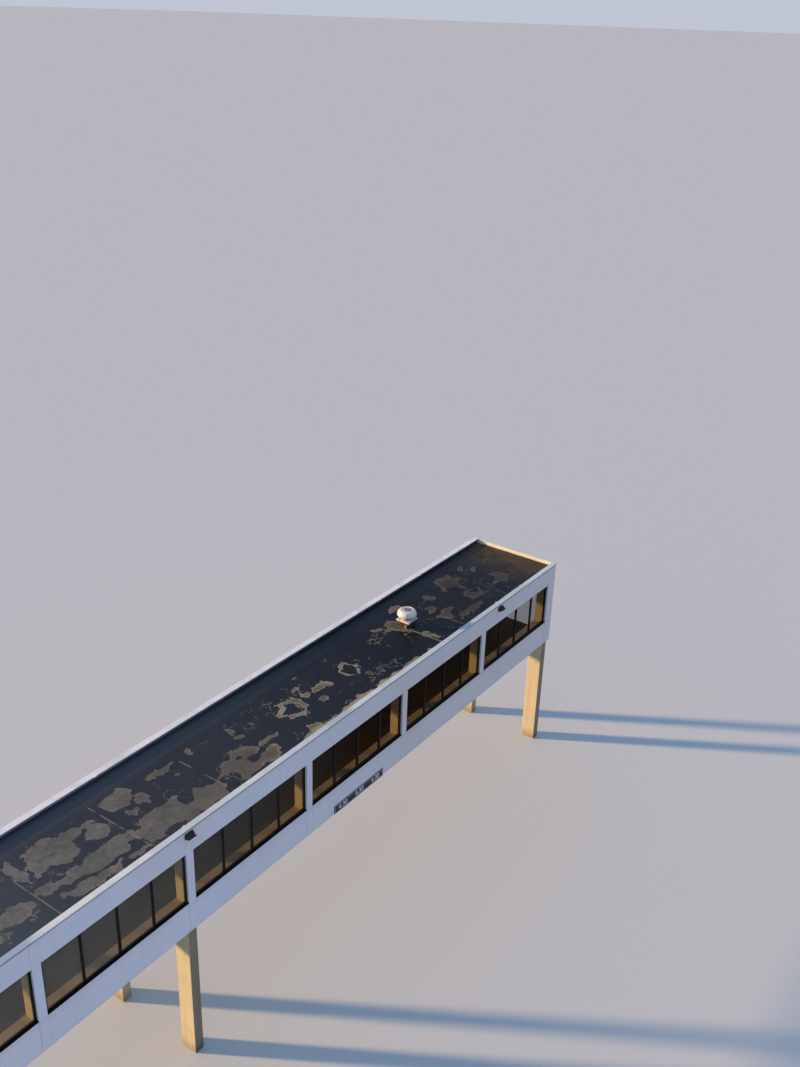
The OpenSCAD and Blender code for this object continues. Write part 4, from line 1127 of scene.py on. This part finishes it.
# Cable clips on the inner hem of each coping, level with the lights: two small white plastic blocks
clip = block(clip_size, (top_point.x, inner_edge + clip_size.y / 2, inner_hem_middle - 0.003))
bpy.ops.mesh.select_all(action="SELECT")
bpy.ops.mesh.bevel(offset=clip_edge, segments=2)
both_sides("coping_clips", copies(settle(clip, "clip", smooth=40), light_moves), white_plastic, "coping_metal")


# A navy painted aluminium plate on the lower wall gives the clear height under the bridge in metres, three times
# over. It has white stick-on numbers and a thin white border, and is held by screws.
plate_number, number_height, number_count = "4.30", 0.172, 3
border_width, border_inset, vinyl = 0.009, 0.012, 0.0012
plate_screw_radius, plate_screw_depth, plate_screw_rise = 0.009, 0.004, 0.122
plate_screw_columns = 5
plate_low, plate_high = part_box("height_plate")
plate_middle = (plate_low + plate_high) / 2
plate_size = plate_high - plate_low

# Navy enamel: smooth and slightly glossy, faded in patches
navy_enamel = mottled("navy_enamel", {"Roughness": 0.4, "Specular IOR Level": 0.25}, (3.5, 5.0, 0.65),
                      ("0e1422", "1a2339"))
dress(navy_enamel, "height_plate")

# White vinyl film: matt, greyed
white_vinyl = mottled("white_vinyl_film", {"Roughness": 0.55}, (12.0, 4.0), ("d8dbe0", "f2f3f5"))

border = flat_ring(plate_size.x - 2 * border_inset, plate_size.z - 2 * border_inset,
                   (plate_middle.x, plate_low.y, plate_middle.z), border_width, vinyl)
fix(settle(border, "height_plate_border"), white_vinyl)

deselect()
bpy.ops.object.text_add(location=(plate_middle.x, plate_low.y - vinyl * 0.5, plate_middle.z), rotation=turn_front)
digits = bpy.context.object.data
digits.body, digits.size, digits.extrude = plate_number, number_height * 1.4, vinyl / 2
digits.align_x, digits.align_y = "CENTER", "CENTER"
bpy.ops.object.convert(target="MESH")
number = settle(bpy.context.object, "number")
numbers = copies(number, [shift(k * plate_size.x / number_count) for k in (-1, 0, 1)])
fix(join("height_plate_numbers", numbers), white_vinyl)

screw_place = (plate_low.x + border_inset, plate_low.y - plate_screw_depth / 2, plate_middle.z)
screw = head("screw", 12, plate_screw_radius, plate_screw_depth, screw_place, turn_front, 0.004, dish=(0, 0.0015, 0))
column_pitch = (plate_size.x - 2 * border_inset) / (plate_screw_columns - 1)
screws = copies(screw, [shift(k * column_pitch, 0, rise) for k in range(plate_screw_columns)
                        for rise in (-plate_screw_rise, plate_screw_rise)])
fix(join("height_plate_screws", screws), galvanised_steel)


# A plain pale floor that reaches to the horizon, a low warm key light from behind the bridge, and cool soft fill all
# round. The key stands where the sun was when the photograph was taken.
floor_reach, floor_grey = 9000.0, "bfc7c4"
key_heading, key_height, key_spread = (math.radians(a) for a in (122, 12.5, 3.0))
key_energy, key_colour = 8.4, (1.0, 0.62, 0.34)
fill_low, fill_high = (0.53, 0.56, 0.66, 1), (0.33, 0.46, 0.74, 1)

bpy.ops.mesh.primitive_plane_add(size=floor_reach, location=(0, 0, 0))
floor = bpy.context.object
floor.name = "studio_floor"
floor_paint, shader, place = start_material("studio_floor_paint", {
    "Base Color": floor_grey, "Roughness": 0.95, "Specular IOR Level": 0.0})
floor.data.materials.append(floor_paint)

bpy.ops.object.light_add(type="SUN")
key = bpy.context.object
key.name = "key_light"
key.data.energy, key.data.color, key.data.angle = key_energy, key_colour, key_spread
towards = Vector((math.cos(key_heading) * math.cos(key_height), math.sin(key_heading) * math.cos(key_height),
                  math.sin(key_height)))
key.rotation_euler = towards.to_track_quat("Z", "Y").to_euler()

world = bpy.data.worlds.new("studio")
bpy.context.scene.world = world
world.use_nodes = True
tree = world.node_tree
rise = add("SeparateXYZ", (add("TexCoord").outputs["Generated"],)).outputs["Z"]
fill = add("Mix", (add("MapRange", (rise, 0.02, 0.12)), fill_low, fill_high))
feed(tree.nodes["Background"], {"Color": fill, "Strength": 1.0})

bpy.context.scene.view_settings.view_transform = "Standard"
